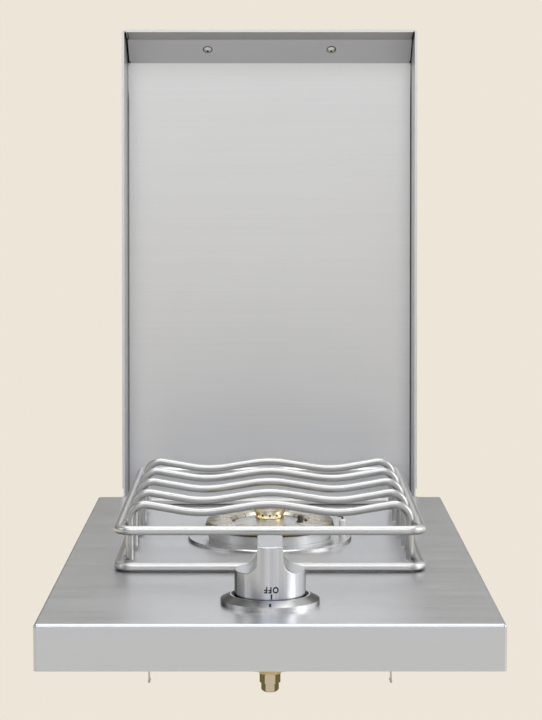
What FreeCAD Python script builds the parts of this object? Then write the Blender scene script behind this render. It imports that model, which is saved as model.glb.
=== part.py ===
import FreeCAD, Part
import math
import os
import re
import Sketcher
from FreeCAD import Placement, Rotation, Vector

# Built in side burner, in millimetres.
# +X is to the right, +Y to the back and +Z up. The origin is the middle of the plane
# in which the folded rim rests on the worktop, round the cut-out.

doc = FreeCAD.newDocument("side_burner")
sheet = doc.addObject("Spreadsheet::Sheet", "Sizes")

# Driving dimensions: name, value, meaning
DRIVING = [
    ("deck_width", 320, "deck, left to right"),
    ("deck_depth", 549.5, "deck, front to back"),
    ("deck_height", 32.4, "height of the folded rim"),
    ("deck_sheet", 1.5, "sheet of the deck"),
    ("deck_bend", 2.5, "outer radius of the deck's bends"),
    ("deck_return", 12, "width of the rim's inward return"),
    ("knob_from_front", 69.8, "control axis behind the front face"),
    ("burner_from_front", 324.5, "burner axis behind the front face"),
    ("rack_from_front", 179.9, "grate's front edge behind the front face"),
    ("rack_width", 238.4, "grate, left to right"),
    ("rack_depth", 322.2, "grate, front to back"),
    ("rack_rod", 7.2, "rod of the grate's rings"),
    ("cross_rod", 6.35, "rod of the grate's cross rods"),
    ("rack_corner", 9.5, "centre line radius of the rings' corners"),
    ("rack_ring_height", 31.9, "middle of the upper ring above the deck"),
    ("rack_rod_pitch", 59.6, "one cross rod to the next"),
    ("rod_foot_height", 2.6, "foot of a cross rod above the deck"),
    ("rod_shoulder", 47.9, "corner of a cross rod's shoulder above the deck"),
    ("rod_trough", 38.35, "corner of a cross rod's trough above the deck"),
    ("rod_crest", 46.9, "corner of a cross rod's crest above the deck"),
    ("rod_trough_out", 54, "trough of a cross rod from the middle"),
    ("rod_bend", 12, "radius of the shoulder bend"),
    ("rod_wave", 90, "radius of the trough and crest bends"),
    ("lid_width", 274.4, "lid, left to right"),
    ("lid_depth", 52.5, "lid, from deck to its top when shut"),
    ("lid_reach", 439.9, "lid, from hinge axis to its front"),
    ("lid_sheet", 1.2, "sheet of the lid"),
    ("lid_bend", 2, "outer radius of the lid's bends"),
    ("lid_lip_run", 4, "how far the lid's front lip leans back"),
    ("lid_slope_run", 19.6, "sloped strip of the lid, along the top"),
    ("lid_slope_drop", 27, "sloped strip of the lid, down the front"),
    ("lid_hem", 6, "height of the hem folded out round the lid's edge"),
    ("lid_seam", 1.5, "width of the seams in the lid's front corners"),
    ("lid_seam_depth", 0.7, "depth of those seams"),
    ("lid_land", 0.4, "gap under the shut lid"),
    ("lid_open", 94, "angle from shut to open"),
    ("lid_tail", 9, "lid behind its hinge axis"),
    ("hinge_back", 6, "hinge axis behind the deck"),
    ("hinge_drop", 5, "hinge axis below the deck's top"),
    ("hinge_ear", 5.5, "radius of the hinge ears"),
    ("hinge_pin", 4, "diameter of the hinge pins"),
    ("bracket_sheet", 2, "sheet of the hinge brackets"),
    ("bracket_foot", 30, "width of a hinge bracket's foot"),
    ("bracket_height", 11, "height of a hinge bracket"),
    ("grip_length", 150, "handle bar"),
    ("grip_bar", 9, "diameter of the handle bar"),
    ("grip_post", 8, "diameter of the handle posts"),
    ("grip_gap", 11, "from the lid to the handle bar"),
    ("grip_screw_pitch", 117.7, "one handle screw to the other"),
    ("grip_rise", 13.8, "handle screws up the sloped strip from its foot"),
    ("bezel_radius", 35.1, "bezel, outer radius"),
    ("bezel_lip", 28.4, "bezel, radius where the cone ends"),
    ("bezel_well", 27.4, "bezel, radius of the well"),
    ("bezel_side", 3.6, "bezel, straight side"),
    ("bezel_height", 7, "bezel, top"),
    ("bezel_floor", 1, "bezel, floor of the well"),
    ("control_screw_out", 17, "control screws from the control axis"),
    ("stem_way", 6.5, "radius of the way for the stem through deck and bezel"),
    ("knob_radius", 25.2, "knob, radius"),
    ("knob_start", 4.5, "underside of the knob above the deck"),
    ("knob_shelf", 24.6, "thumb shelf above the deck"),
    ("knob_top", 44.2, "top of the grip above the deck"),
    ("knob_grip", 18.1, "width of the grip"),
    ("knob_scoop", 10, "radius of the thumb scoops"),
    ("knob_edge", 0.8, "rounding of the knob's edges"),
    ("knob_wall", 3.4, "wall of the knob's skirt"),
    ("knob_hollow", 13, "depth of the knob's hollow"),
    ("bush_radius", 6.5, "metal bush in the knob"),
    ("bush_top", 26, "top of the bush above the deck"),
    ("stem_diameter", 8, "valve stem"),
    ("stem_top", 23.5, "top of the stem above the deck"),
    ("stem_flat", 1.4, "depth of the flat on the stem"),
    ("clip_drop", 7, "underside of the stem's clip below the deck's top"),
    ("washer_drop", 8.3, "underside of the thrust washer below the deck's top"),
    ("clip_sheet", 1, "thickness of the clip and the washer"),
    ("push_travel", 3, "travel of the knob when pushed"),
    ("running_fit", 0.05, "radial clearance of shafts and pins"),
    ("seat_gap", 0.3, "gap between pieces that move apart"),
    ("flange_radius", 67.4, "burner flange, outer radius"),
    ("flange_height", 2.9, "burner flange above the deck"),
    ("flange_sheet", 1, "sheet of the burner flange"),
    ("bowl_radius", 50, "burner bowl, outer radius at the deck"),
    ("bowl_wall", 3.4, "wall of the burner bowl"),
    ("bowl_rise", 10.4, "burner bowl above the deck"),
    ("bowl_waist", 40, "burner bowl, outer radius below"),
    ("bowl_depth", 46, "burner bowl below the deck's top"),
    ("bowl_taper_top", 8, "top of the bowl's taper below the deck's top"),
    ("bowl_taper_foot", 20, "foot of the bowl's taper below the deck's top"),
    ("bowl_screw_out", 58, "bowl screws from the burner axis"),
    ("lug_radius", 7, "lugs for the bowl screws"),
    ("lug_sheet", 5, "thickness of those lugs"),
    ("socket_depth", 10, "depth of the bowl's socket for the mixing tube"),
    ("socket_wall", 2.5, "wall of that socket"),
    ("post_radius", 10, "post in the middle of the bowl"),
    ("post_rise", 13, "top of that post above the deck"),
    ("crown_radius", 53.3, "brass flame ring, outer radius"),
    ("crown_inner", 31.2, "brass flame ring, inner radius"),
    ("crown_height", 6, "brass flame ring, from its seat to its rim"),
    ("crown_slots", 36, "flame slots in the brass ring"),
    ("crown_slot_width", 1.4, "width of a flame slot"),
    ("disc_radius", 30, "spreader disc"),
    ("disc_rim", 14.6, "top of the disc's rim above the deck"),
    ("disc_top", 18.4, "top of the disc above the deck"),
    ("cap_base", 11.7, "centre cap, radius at its foot"),
    ("cap_flare", 13.1, "centre cap, radius of its flared top"),
    ("cap_height", 7.2, "centre cap, height"),
    ("cap_ports", 12, "ports in the centre cap"),
    ("cap_port_diameter", 1.8, "a port of the centre cap"),
    ("ceramic_out", 60, "igniter from the burner axis"),
    ("ceramic_diameter", 5.8, "igniter's ceramic"),
    ("ceramic_top", 17, "top of the ceramic above the deck"),
    ("sensor_out", 25.2, "flame sensor from the burner axis"),
    ("sensor_diameter", 4.6, "flame sensor"),
    ("sensor_top", 20.5, "top of the flame sensor above the deck"),
    ("tube_radius", 12, "mixing tube"),
    ("tube_wall", 1.2, "wall of the mixing tube"),
    ("tube_bell", 15, "radius of the mixing tube's air bell"),
    ("tube_bell_length", 24, "length of the air bell"),
    ("tube_throat", 2, "how much narrower the mixing tube's throat is"),
    ("tube_eye", 5.2, "radius of the hole for the jet"),
    ("shutter_sheet", 1, "sheet of the air shutter"),
    ("gas_line_drop", 33, "axis of the mixing tube below the deck's top"),
    ("valve_width", 26, "valve body, left to right"),
    ("valve_length", 30, "valve body, front to back"),
    ("valve_shoulder", 22, "top of the valve block below the deck's top"),
    ("valve_bottom", 46, "bottom of the valve block below the deck's top"),
    ("valve_neck", 10, "radius of the valve's neck"),
    ("valve_foot", 8, "radius of the valve's foot"),
    ("valve_outlet", 6.5, "radius of the valve's outlet"),
    ("plate_width", 50, "plate that holds the valve, left to right"),
    ("plate_depth", 26, "plate that holds the valve, front to back"),
    ("plate_sheet", 2, "thickness of that plate"),
    ("jet_hexagon", 11.2, "jet's hexagon across its corners"),
    ("jet_base", 5, "length of the jet's hexagon"),
    ("spring_pocket", 7, "radius of the spring pocket in the neck"),
    ("spring_floor", 20, "floor of that pocket below the deck's top"),
    ("spring_wire", 1, "wire of the return spring"),
    ("inlet_top", 50, "top of the inlet hexagon below the deck's top"),
    ("inlet_hexagon", 14.8, "inlet hexagon across its corners"),
    ("inlet_length", 7, "inlet hexagon, length"),
    ("inlet_nut", 12.5, "inlet nut across its corners"),
    ("inlet_nut_length", 6.2, "inlet nut, length"),
    ("inlet_bore", 4.4, "radius of the inlet's spigot"),
    ("strap_out", 85.7, "hold down strap from the middle"),
    ("strap_from_front", 72, "hold down strap behind the front face"),
    ("strap_sheet", 0.8, "sheet of the hold down straps"),
    ("strap_width", 9, "width of the hold down straps"),
    ("strap_length", 57, "end of the straps below the deck's top"),
    ("strap_foot", 12, "foot of a strap under the deck"),
    ("module_width", 16, "spark module, left to right"),
    ("module_depth", 34, "spark module, front to back"),
    ("module_top", 14, "top of the spark module below the deck's top"),
    ("module_bottom", 40, "bottom of the spark module below the deck's top"),
    ("lead_diameter", 2.6, "igniter lead"),
    ("lead_drop", 27, "igniter lead below the deck's top"),
    ("lead_bend", 22, "radius of the lead's two long bends"),
    ("clip_width", 6, "width of the lead's clips"),
    ("ceramic_foot", 16, "foot of the ceramic below the deck's top"),
    ("screw_shank", 4, "diameter of the screws' shanks"),
    ("screw_head", 7.6, "diameter of the screws' heads"),
    ("screw_rise", 2.2, "height of the screws' heads"),
    ("screw_head_small", 6.6, "diameter of the low screws' heads"),
    ("screw_rise_small", 1.6, "height of the low screws' heads"),
]

# Sizes that follow from the driving ones
DERIVED = [
    ("front_face", "-deck_depth / 2"),
    ("rear_face", "deck_depth / 2"),
    ("knob_y", "front_face + knob_from_front"),
    ("burner_y", "front_face + burner_from_front"),
    ("rack_y", "front_face + rack_from_front + rack_depth / 2"),
    ("hinge_y", "rear_face + hinge_back"),
    ("hinge_z", "deck_height - hinge_drop"),
    ("rail_x", "(rack_width - rack_rod) / 2"),
    ("rail_y", "(rack_depth - rack_rod) / 2"),
    ("rod_foot_x", "rail_x - (rack_rod + cross_rod) / 2 + 0.05"),
    ("lid_top", "hinge_drop + lid_depth"),
    ("lid_edge", "hinge_drop + lid_land"),
    ("lid_fold", "lid_top - lid_slope_drop"),
    ("lid_fold_y", "lid_lip_run - lid_reach"),
    ("lid_slope_end", "lid_fold_y + lid_slope_run"),
    ("lip_rise", "lid_fold - lid_edge"),
    ("lip_long", "sqrt(lid_lip_run^2 + lip_rise^2)"),
    ("slope_long", "sqrt(lid_slope_run^2 + lid_slope_drop^2)"),
    ("fold_cross", "lip_rise * lid_slope_drop + lid_lip_run * lid_slope_run"),
    ("fold_share", "1 + fold_cross / (lip_long * slope_long)"),
    ("fold_in_y", "(lip_rise / lip_long + lid_slope_drop / slope_long) / fold_share"),
    ("fold_in_z", "(lid_lip_run / lip_long + lid_slope_run / slope_long) / fold_share"),
    ("slope_end_in", "lid_slope_drop / (slope_long + lid_slope_run)"),
    ("lip_in", "lip_long / lip_rise"),
    ("bowl_bore", "bowl_radius - bowl_wall"),
    ("crown_seat", "bowl_rise + seat_gap"),
    ("crown_rim", "crown_seat + crown_height"),
    ("cap_seat", "disc_top + seat_gap"),
    ("valve_front", "valve_length / 2 + 12"),
    ("jet_tip", "valve_front + 14"),
    ("bell_start", "valve_front + 8"),
    ("module_x", "(valve_width + module_width) / 2"),
    ("lead_run", "burner_y - knob_y - module_depth / 2"),
    ("bell_y", "knob_y + bell_start"),
    ("tube_length", "burner_y - bowl_waist - 0.5 - bell_y"),
    ("inlet_end", "inlet_top + inlet_length"),
    ("nut_end", "inlet_end + inlet_nut_length"),
    ("bracket_inner", "lid_width / 2 - lid_sheet - 0.5 - bracket_sheet"),
    ("stem_foot", "valve_bottom - 10"),
]

for row, (alias, value, meaning) in enumerate(DRIVING, start=1):
    sheet.set(f"A{row}", meaning)
    sheet.set(f"B{row}", str(value))
    sheet.setAlias(f"B{row}", alias)
for row, (alias, formula) in enumerate(DERIVED, start=len(DRIVING) + 1):
    sheet.set(f"B{row}", "=" + formula)
    sheet.setAlias(f"B{row}", alias)
doc.recompute()

ALIASES = {entry[0] for entry in DRIVING + DERIVED}
BOWL_SCREW_ANGLES = (90, 210, 330)
PARTS = []


def size(alias):
    """A size from the sheet, as a number."""
    return float(sheet.get(alias))


def bind(obj, path, formula):
    """Tie a property to a formula in the sheet's own names."""
    def named(word):
        return "Sizes." + word.group() if word.group() in ALIASES else word.group()

    obj.setExpression(path, re.sub(r"[a-z][a-z0-9_]*", named, formula))


def place(obj, x="0", y="0", z="0"):
    """Tie an object's place to the sheet."""
    bind(obj, ".Placement.Base.x", x)
    bind(obj, ".Placement.Base.y", y)
    bind(obj, ".Placement.Base.z", z)


def part(obj, label):
    """Name an object as a finished piece of the burner."""
    obj.Label = label
    PARTS.append(obj)
    return obj


def new_body(label, x="0", y="0", z="0"):
    """An empty PartDesign body for one piece."""
    body = doc.addObject("PartDesign::Body", label + "_body")
    place(body, x, y, z)
    return part(body, label)


def origin_item(body, role):
    """A plane or an axis of a body's own origin."""
    return [item for item in body.Origin.OriginFeatures if item.Role == role][0]


def sketch_on(body, plane, name, lift="0"):
    """An empty sketch on one of the body's planes, lifted along its normal."""
    sketch = body.newObject("Sketcher::SketchObject", name)
    sketch.AttachmentSupport = [(origin_item(body, plane), "")]
    sketch.MapMode = "FlatFace"
    bind(sketch, ".AttachmentOffset.Base.z", lift)
    return sketch


def fix_point(sketch, index, corner, x, y):
    """Hold a point of the sketch at a distance from the sketch's origin."""
    across = sketch.addConstraint(Sketcher.Constraint("DistanceX", -1, 1, index, corner, 1.0))
    bind(sketch, f"Constraints[{across}]", x)
    up = sketch.addConstraint(Sketcher.Constraint("DistanceY", -1, 1, index, corner, 1.0))
    bind(sketch, f"Constraints[{up}]", y)


def outline(body, plane, name, points, lift="0"):
    """A closed outline of straight lines, each corner held by two formulas."""
    sketch = sketch_on(body, plane, name, lift)
    count = len(points)
    start = [
        Vector(math.cos(2 * math.pi * i / count), math.sin(2 * math.pi * i / count), 0)
        for i in range(count)
    ]
    for i in range(count):
        sketch.addGeometry(Part.LineSegment(start[i], start[(i + 1) % count]))
    for i in range(count):
        sketch.addConstraint(Sketcher.Constraint("Coincident", i, 2, (i + 1) % count, 1))
    for i, (x, y) in enumerate(points):
        fix_point(sketch, i, 1, x, y)
    return sketch


def rectangle(body, plane, name, half_x, half_y, x="0", y="0", lift="0"):
    """A rectangle about a middle point."""
    corners = [
        (f"{x} - ({half_x})", f"{y} - ({half_y})"),
        (f"{x} + ({half_x})", f"{y} - ({half_y})"),
        (f"{x} + ({half_x})", f"{y} + ({half_y})"),
        (f"{x} - ({half_x})", f"{y} + ({half_y})"),
    ]
    return outline(body, plane, name, corners, lift)


def circles(body, plane, name, rounds, lift="0"):
    """Circles given as (x, y, radius) formulas."""
    sketch = sketch_on(body, plane, name, lift)
    for i, (x, y, radius) in enumerate(rounds):
        sketch.addGeometry(Part.Circle(Vector(40.0 * i, 0, 0), Vector(0, 0, 1), 1.0 + i))
        fix_point(sketch, i, 3, x, y)
        bound = sketch.addConstraint(Sketcher.Constraint("Radius", i, 1.0 + i))
        bind(sketch, f"Constraints[{bound}]", radius)
    return sketch


def pad(body, sketch, length, back=False, middle=False):
    """Extrude a sketch."""
    feature = body.newObject("PartDesign::Pad", sketch.Name + "_pad")
    feature.Profile = sketch
    bind(feature, "Length", length)
    if middle:
        feature.SideType = "Symmetric"
    feature.Reversed = back
    doc.recompute()
    return feature


def pocket(body, sketch, length, back=False, middle=False):
    """Cut a sketch out of the body, and make sure that it cuts something."""
    before = body.Shape.Volume
    feature = body.newObject("PartDesign::Pocket", sketch.Name + "_cut")
    feature.Profile = sketch
    bind(feature, "Length", length)
    if middle:
        feature.SideType = "Symmetric"
    feature.Reversed = back
    doc.recompute()
    if not body.Shape.Volume < before - 1e-6:
        raise RuntimeError(f"{feature.Name} cuts nothing")
    return feature


def revolve(body, name, points):
    """Turn a half section, given as (radius, height), about the body's Z axis."""
    sketch = outline(body, "XZ_Plane", name, points)
    feature = body.newObject("PartDesign::Revolution", name + "_turn")
    feature.Profile = sketch
    feature.ReferenceAxis = (sketch, ["V_Axis"])
    feature.Angle = 360
    doc.recompute()
    return feature


def polar(body, feature, count):
    """Repeat a feature round the body's Z axis."""
    pattern = body.newObject("PartDesign::PolarPattern", feature.Name + "_round")
    pattern.Originals = [feature]
    pattern.Axis = (origin_item(body, "Z_Axis"), [""])
    pattern.Angle = 360
    bind(pattern, "Occurrences", count)
    body.Tip = pattern
    doc.recompute()
    return pattern


def round_edges(body, radius, chosen):
    """Fillet the edges of the body that a test picks."""
    base = body.Tip
    names = [f"Edge{i}" for i, edge in enumerate(base.Shape.Edges, start=1) if chosen(edge)]
    if not names:
        raise RuntimeError(f"no edge to round on {body.Label}")
    feature = body.newObject("PartDesign::Fillet", base.Name + "_fillet")
    feature.Base = (base, names)
    bind(feature, "Radius", radius)
    doc.recompute()
    return feature


def near(value, target, slack=0.01):
    """Two lengths that are the same but for rounding."""
    return abs(value - target) < slack


def along(edge, axis):
    """A straight edge that runs along one of the axes: 0, 1 or 2."""
    if not isinstance(edge.Curve, Part.Line):
        return False
    return near(abs(edge.tangentAt(edge.FirstParameter)[axis]), 1, 1e-6)


def middle_of(edge):
    """The middle of an edge's own box."""
    return edge.BoundBox.Center


def primitive(kind, name, x="0", y="0", z="0", **formulas):
    """A Part primitive with its sizes tied to the sheet."""
    obj = doc.addObject("Part::" + kind, name)
    for prop, formula in formulas.items():
        bind(obj, prop, formula)
    place(obj, x, y, z)
    return obj


def boolean(kind, name, base, tool):
    """A Part cut, fuse or common of two objects."""
    obj = doc.addObject("Part::" + kind, name)
    obj.Base = base
    obj.Tool = tool
    return obj


def formed(label, shape, x=0.0, y=0.0, z=0.0, turn=None):
    """A piece whose shape is worked out here, with its place set after its shape."""
    obj = doc.addObject("Part::Feature", label + "_shape")
    obj.Shape = shape
    obj.Placement = Placement(Vector(x, y, z), turn or Rotation())
    return part(obj, label)


def rounded_path(corners, radii, closed=False):
    """A wire of straight runs joined by tangent arcs, with one radius for each corner."""
    count = len(corners)
    inner = range(count) if closed else range(1, count - 1)
    bends = {}
    for i in inner:
        here = corners[i]
        back = (corners[i - 1] - here).normalize()
        ahead = (corners[(i + 1) % count] - here).normalize()
        half = back.getAngle(ahead) / 2
        reach = radii[i] / math.tan(half)
        centre = here + (back + ahead).normalize() * (radii[i] / math.sin(half))
        middle = centre + (here - centre).normalize() * radii[i]
        bends[i] = (here + back * reach, middle, here + ahead * reach)
    edges = []
    for i in range(count if closed else count - 1):
        after = (i + 1) % count
        start = bends[i][2] if i in bends else corners[i]
        end = bends[after][0] if after in bends else corners[after]
        edges.append(Part.LineSegment(start, end).toShape())
        if after in bends:
            edges.append(Part.Arc(*bends[after]).toShape())
    return Part.Wire(edges)


def rod_along(wire, diameter):
    """A round rod that follows a wire from its first point."""
    first = wire.Edges[0]
    start = first.valueAt(first.FirstParameter)
    heading = first.tangentAt(first.FirstParameter)
    circle = Part.Wire([Part.Circle(start, heading, diameter / 2).toShape()])
    return wire.makePipeShell([circle], True, False)


def domed_screw(top, heading, shank_length, kind=""):
    """A screw with a domed head: top is under the head, heading points out of the head."""
    half = size("screw_head" + kind) / 2
    rise = size("screw_rise" + kind)
    shank = size("screw_shank") / 2
    edge = 0.3
    dome = rise - edge
    radius = (half**2 + dome**2) / (2 * dome)
    lean = math.asin(half / radius) / 2
    crown = Part.Arc(
        Vector(half, 0, edge),
        Vector(radius * math.sin(lean), 0, rise - radius + radius * math.cos(lean)),
        Vector(0, 0, rise),
    ).toShape()
    corners = [
        Vector(0, 0, rise), Vector(0, 0, -shank_length), Vector(shank, 0, -shank_length),
        Vector(shank, 0, 0), Vector(half, 0, 0), Vector(half, 0, edge),
    ]
    section = Part.Face(Part.Wire([crown] + Part.makePolygon(corners).Edges))
    screw = section.revolve(Vector(0, 0, 0), Vector(0, 0, 1), 360)
    screw.Placement = Placement(top, Rotation(Vector(0, 0, 1), heading))
    return screw


# Deck: a sheet folded down on all four sides, with a narrow return under it
def make_deck():
    body = new_body("deck_panel")
    block = rectangle(body, "XY_Plane", "deck_block", "deck_width / 2", "deck_depth / 2")
    pad(body, block, "deck_height")
    top = size("deck_height")

    def folded(edge):
        return along(edge, 2) or near(edge.BoundBox.ZMin, top)

    round_edges(body, "deck_bend", folded)
    hollow = rectangle(
        body, "XY_Plane", "deck_hollow",
        "deck_width / 2 - deck_sheet", "deck_depth / 2 - deck_sheet", lift="deck_sheet",
    )
    pocket(body, hollow, "deck_height - 2 * deck_sheet", back=True)
    mouth = rectangle(
        body, "XY_Plane", "deck_mouth",
        "deck_width / 2 - deck_return", "deck_depth / 2 - deck_return",
    )
    pocket(body, mouth, "deck_sheet", back=True)
    holes = [
        ("0", "burner_y", "bowl_radius + 0.5"),
        ("0", "knob_y", "stem_way"),
        ("control_screw_out", "knob_y", "screw_shank / 2 + 0.2"),
        ("-control_screw_out", "knob_y", "screw_shank / 2 + 0.2"),
        ("ceramic_out", "burner_y", "ceramic_diameter / 2 + 0.3"),
    ]
    holes += [(x, y, "screw_shank / 2 + 0.2") for x, y in bowl_screw_places("burner_y")]
    through = circles(body, "XY_Plane", "deck_holes", holes, lift="deck_height")
    pocket(body, through, "deck_sheet + 1")
    rear = [(x, "hinge_z", "screw_shank / 2 + 0.2") for x in hinge_screw_places()]
    rear_holes = circles(body, "XZ_Plane", "deck_rear_holes", rear, lift="-rear_face")
    pocket(body, rear_holes, "deck_sheet + 1", back=True)


def bowl_screw_places(y):
    """The three screws that hold the bowl, one behind it and two in front."""
    return [
        (f"bowl_screw_out * cos({angle})", f"{y} + bowl_screw_out * sin({angle})")
        for angle in BOWL_SCREW_ANGLES
    ]


def hinge_screw_places():
    """The screws of both hinge brackets, left to right."""
    inner = "bracket_inner - 3 * bracket_foot / 4"
    outer = "bracket_inner - bracket_foot / 4"
    return [f"-({outer})", f"-({inner})", inner, outer]


def make_hold_down_straps():
    solids = []
    thick = size("strap_sheet")
    wide = size("strap_width")
    foot_length = size("strap_foot")
    under = size("deck_height") - size("deck_sheet")
    end = size("deck_height") - size("strap_length")
    for side in (-1, 1):
        x = side * size("strap_out") - thick / 2
        y = size("front_face") + size("strap_from_front") - wide / 2
        leg = Part.makeBox(thick, wide, under - end, Vector(x, y, end))
        foot_x = x if side < 0 else x + thick - foot_length
        foot = Part.makeBox(foot_length, wide, thick, Vector(foot_x, y, under - thick))
        curl = Part.makeCylinder(
            thick * 1.1, wide, Vector(x + thick / 2, y, end + thick), Vector(0, 1, 0)
        )
        solids.append(leg.fuse([foot, curl]).removeSplitter())
    formed("hold_down_straps", Part.Compound(solids))


# Hinge: an angle bracket each side, and a pin that the lid turns on
def make_hinge_bracket():
    body = new_body("hinge_bracket_right", "0", "rear_face", "hinge_z")
    inner = "bracket_inner"
    outer = "bracket_inner + bracket_sheet"
    tip = "hinge_back + hinge_ear"
    angle = outline(
        body, "XY_Plane", "bracket_angle",
        [
            (outer, "0"), (outer, tip), (inner, tip), (inner, "bracket_sheet"),
            ("bracket_inner - bracket_foot", "bracket_sheet"), ("bracket_inner - bracket_foot", "0"),
        ],
    )
    pad(body, angle, "bracket_height", middle=True)
    reach = size("hinge_back") + size("hinge_ear")

    def ear_corner(edge):
        return along(edge, 0) and near(middle_of(edge).y, reach)

    round_edges(body, "hinge_ear - 0.5", ear_corner)
    pin_hole = circles(
        body, "YZ_Plane", "bracket_pin_hole", [("hinge_back", "0", "hinge_pin / 2")], lift=inner
    )
    pocket(body, pin_hole, "2 * bracket_sheet", middle=True)
    places = hinge_screw_places()[2:]
    screw_holes = circles(
        body, "XZ_Plane", "bracket_screw_holes", [(x, "0", "screw_shank / 2 + 0.1") for x in places]
    )
    pocket(body, screw_holes, "4 * bracket_sheet", middle=True)
    mirror = doc.addObject("Part::Mirroring", "hinge_bracket_left_mirror")
    mirror.Source = body
    mirror.Normal = Vector(1, 0, 0)
    part(mirror, "hinge_bracket_left")


def make_hinge_fasteners():
    pins = []
    screws = []
    outside = size("lid_width") / 2 + size("seat_gap")
    inside = size("bracket_inner") - 0.6
    for side in (-1, 1):
        start = Vector(side * inside, size("hinge_y"), size("hinge_z"))
        heading = Vector(side, 0, 0)
        shaft = Part.makeCylinder(size("hinge_pin") / 2, outside - inside, start, heading)
        head = Part.makeCylinder(size("hinge_pin"), 1.6, start + heading * (outside - inside), heading)
        rim = [edge for edge in head.Edges if near(edge.BoundBox.Center.x, side * (outside + 1.6))]
        pins.append(shaft.fuse(head.makeFillet(0.8, rim)))
        for share in (0.25, 0.75):
            x = side * (size("bracket_inner") - share * size("bracket_foot"))
            face = size("rear_face") + size("bracket_sheet")
            screws.append(domed_screw(Vector(x, face, size("hinge_z")), Vector(0, 1, 0), 8))
    formed("hinge_pins", Part.Compound(pins))
    formed("hinge_screws", Part.Compound(screws))


# Lid: drawn shut, about its hinge axis, and stored open
def lid_turn():
    return Rotation(Vector(1, 0, 0), -size("lid_open"))


def lid_place(obj):
    obj.Placement = Placement(Vector(0, 0, 0), lid_turn())
    bind(obj, ".Placement.Rotation.Angle", "-lid_open")
    place(obj, "0", "hinge_y", "hinge_z")


def make_lid():
    body = new_body("lid_shell")
    lid_place(body)
    shell = outline(
        body, "YZ_Plane", "lid_side",
        [
            ("-lid_reach", "lid_edge"), ("lid_fold_y", "lid_fold"), ("lid_slope_end", "lid_top"),
            ("lid_tail", "lid_top"), ("lid_tail", "-hinge_ear + 0.1"), ("0", "-hinge_ear"),
            ("-hinge_ear * 0.7071", "-hinge_ear * 0.7071"), ("-hinge_ear", "0"),
            ("-hinge_ear", "lid_edge"),
        ],
    )
    pad(body, shell, "lid_width", middle=True)
    rim = size("lid_edge")
    round_edges(body, "lid_bend", lambda edge: middle_of(edge).z > rim + 1)
    hem_end = "-2 * hinge_ear"
    hem = outline(
        body, "YZ_Plane", "lid_hem_side",
        [
            ("-lid_reach - lid_sheet", "lid_edge"),
            ("lid_hem * lid_lip_run / lip_rise - lid_reach - lid_sheet", "lid_edge + lid_hem"),
            (hem_end, "lid_edge + lid_hem"), (hem_end, "lid_edge"),
        ],
    )
    pad(body, hem, "lid_width + 2 * lid_sheet", middle=True)
    half = size("lid_width") / 2 + size("lid_sheet")
    front = -size("lid_reach")

    def hem_corner(edge):
        where = middle_of(edge)
        return near(abs(where.x), half) and where.y < front and where.z > rim + 1

    round_edges(body, "lid_bend + lid_sheet", hem_corner)
    inner_side = lid_inner_side("0")
    hollow = outline(
        body, "YZ_Plane", "lid_hollow",
        [
            (inner_side[0][0], "-2 * hinge_ear"), *inner_side,
            ("lid_tail - lid_sheet", "lid_top - lid_sheet"),
            ("lid_tail - lid_sheet", "-2 * hinge_ear"),
        ],
    )
    pocket(body, hollow, "lid_width - 2 * lid_sheet", middle=True)
    inside = size("lid_width") / 2 - size("lid_sheet")

    def inner_bend(edge):
        where = middle_of(edge)
        ceiling = size("lid_top") - size("lid_sheet")
        return near(abs(where.x), inside) and near(where.z, ceiling) and along(edge, 1)

    round_edges(body, "lid_bend - lid_sheet", inner_bend)
    below = rectangle(
        body, "YZ_Plane", "lid_tail_gap", "lid_sheet + 1", "hinge_ear + 2", "lid_tail", "-hinge_ear"
    )
    pocket(body, below, "lid_width - 2 * lid_sheet", middle=True)
    eyes = circles(body, "YZ_Plane", "lid_eyes", [("0", "0", "hinge_pin / 2 + running_fit")])
    pocket(body, eyes, "lid_width + 2", middle=True)
    cut_lid_seams(body)
    return body


def lid_inner_side(depth):
    """Front lip and sloped strip seen from the side, a depth into the sheet from inside."""
    left = f"(lid_sheet - {depth})"
    return [
        (f"{left} * lip_in - lid_reach", "lid_edge"),
        (f"lid_fold_y + {left} * fold_in_y", f"lid_fold - {left} * fold_in_z"),
        (f"lid_slope_end + {left} * slope_end_in", f"lid_top - {left}"),
    ]


def cut_lid_seams(body):
    """A narrow seam up both front corners, inside, with a round relief at its end."""
    inner = "lid_width / 2 - lid_sheet"
    band = lid_inner_side("0") + lid_inner_side("lid_seam_depth")[::-1]
    for name, start in (("right", f"{inner} - lid_seam"), ("left", f"-({inner})")):
        seam = outline(body, "YZ_Plane", f"lid_seam_{name}", band, lift=start)
        pocket(body, seam, "lid_seam", back=True)
    ends = [
        (f"{sign}({inner} - lid_seam)", "lid_slope_end + lid_seam", "0.8 * lid_seam")
        for sign in ("", "-")
    ]
    relief = circles(body, "XY_Plane", "lid_seam_ends", ends, lift="lid_top - lid_sheet")
    pocket(body, relief, "lid_seam_depth", back=True)


def slope_frame():
    """Where the handle sits on the lid's sloped strip, and the strip's outward normal."""
    run = size("lid_slope_run")
    drop = size("lid_slope_drop")
    foot = Vector(0, size("lid_fold_y"), size("lid_fold"))
    middle = foot + Vector(0, run, drop).normalize() * size("grip_rise")
    return middle, Vector(0, -drop, run).normalize()


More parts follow.
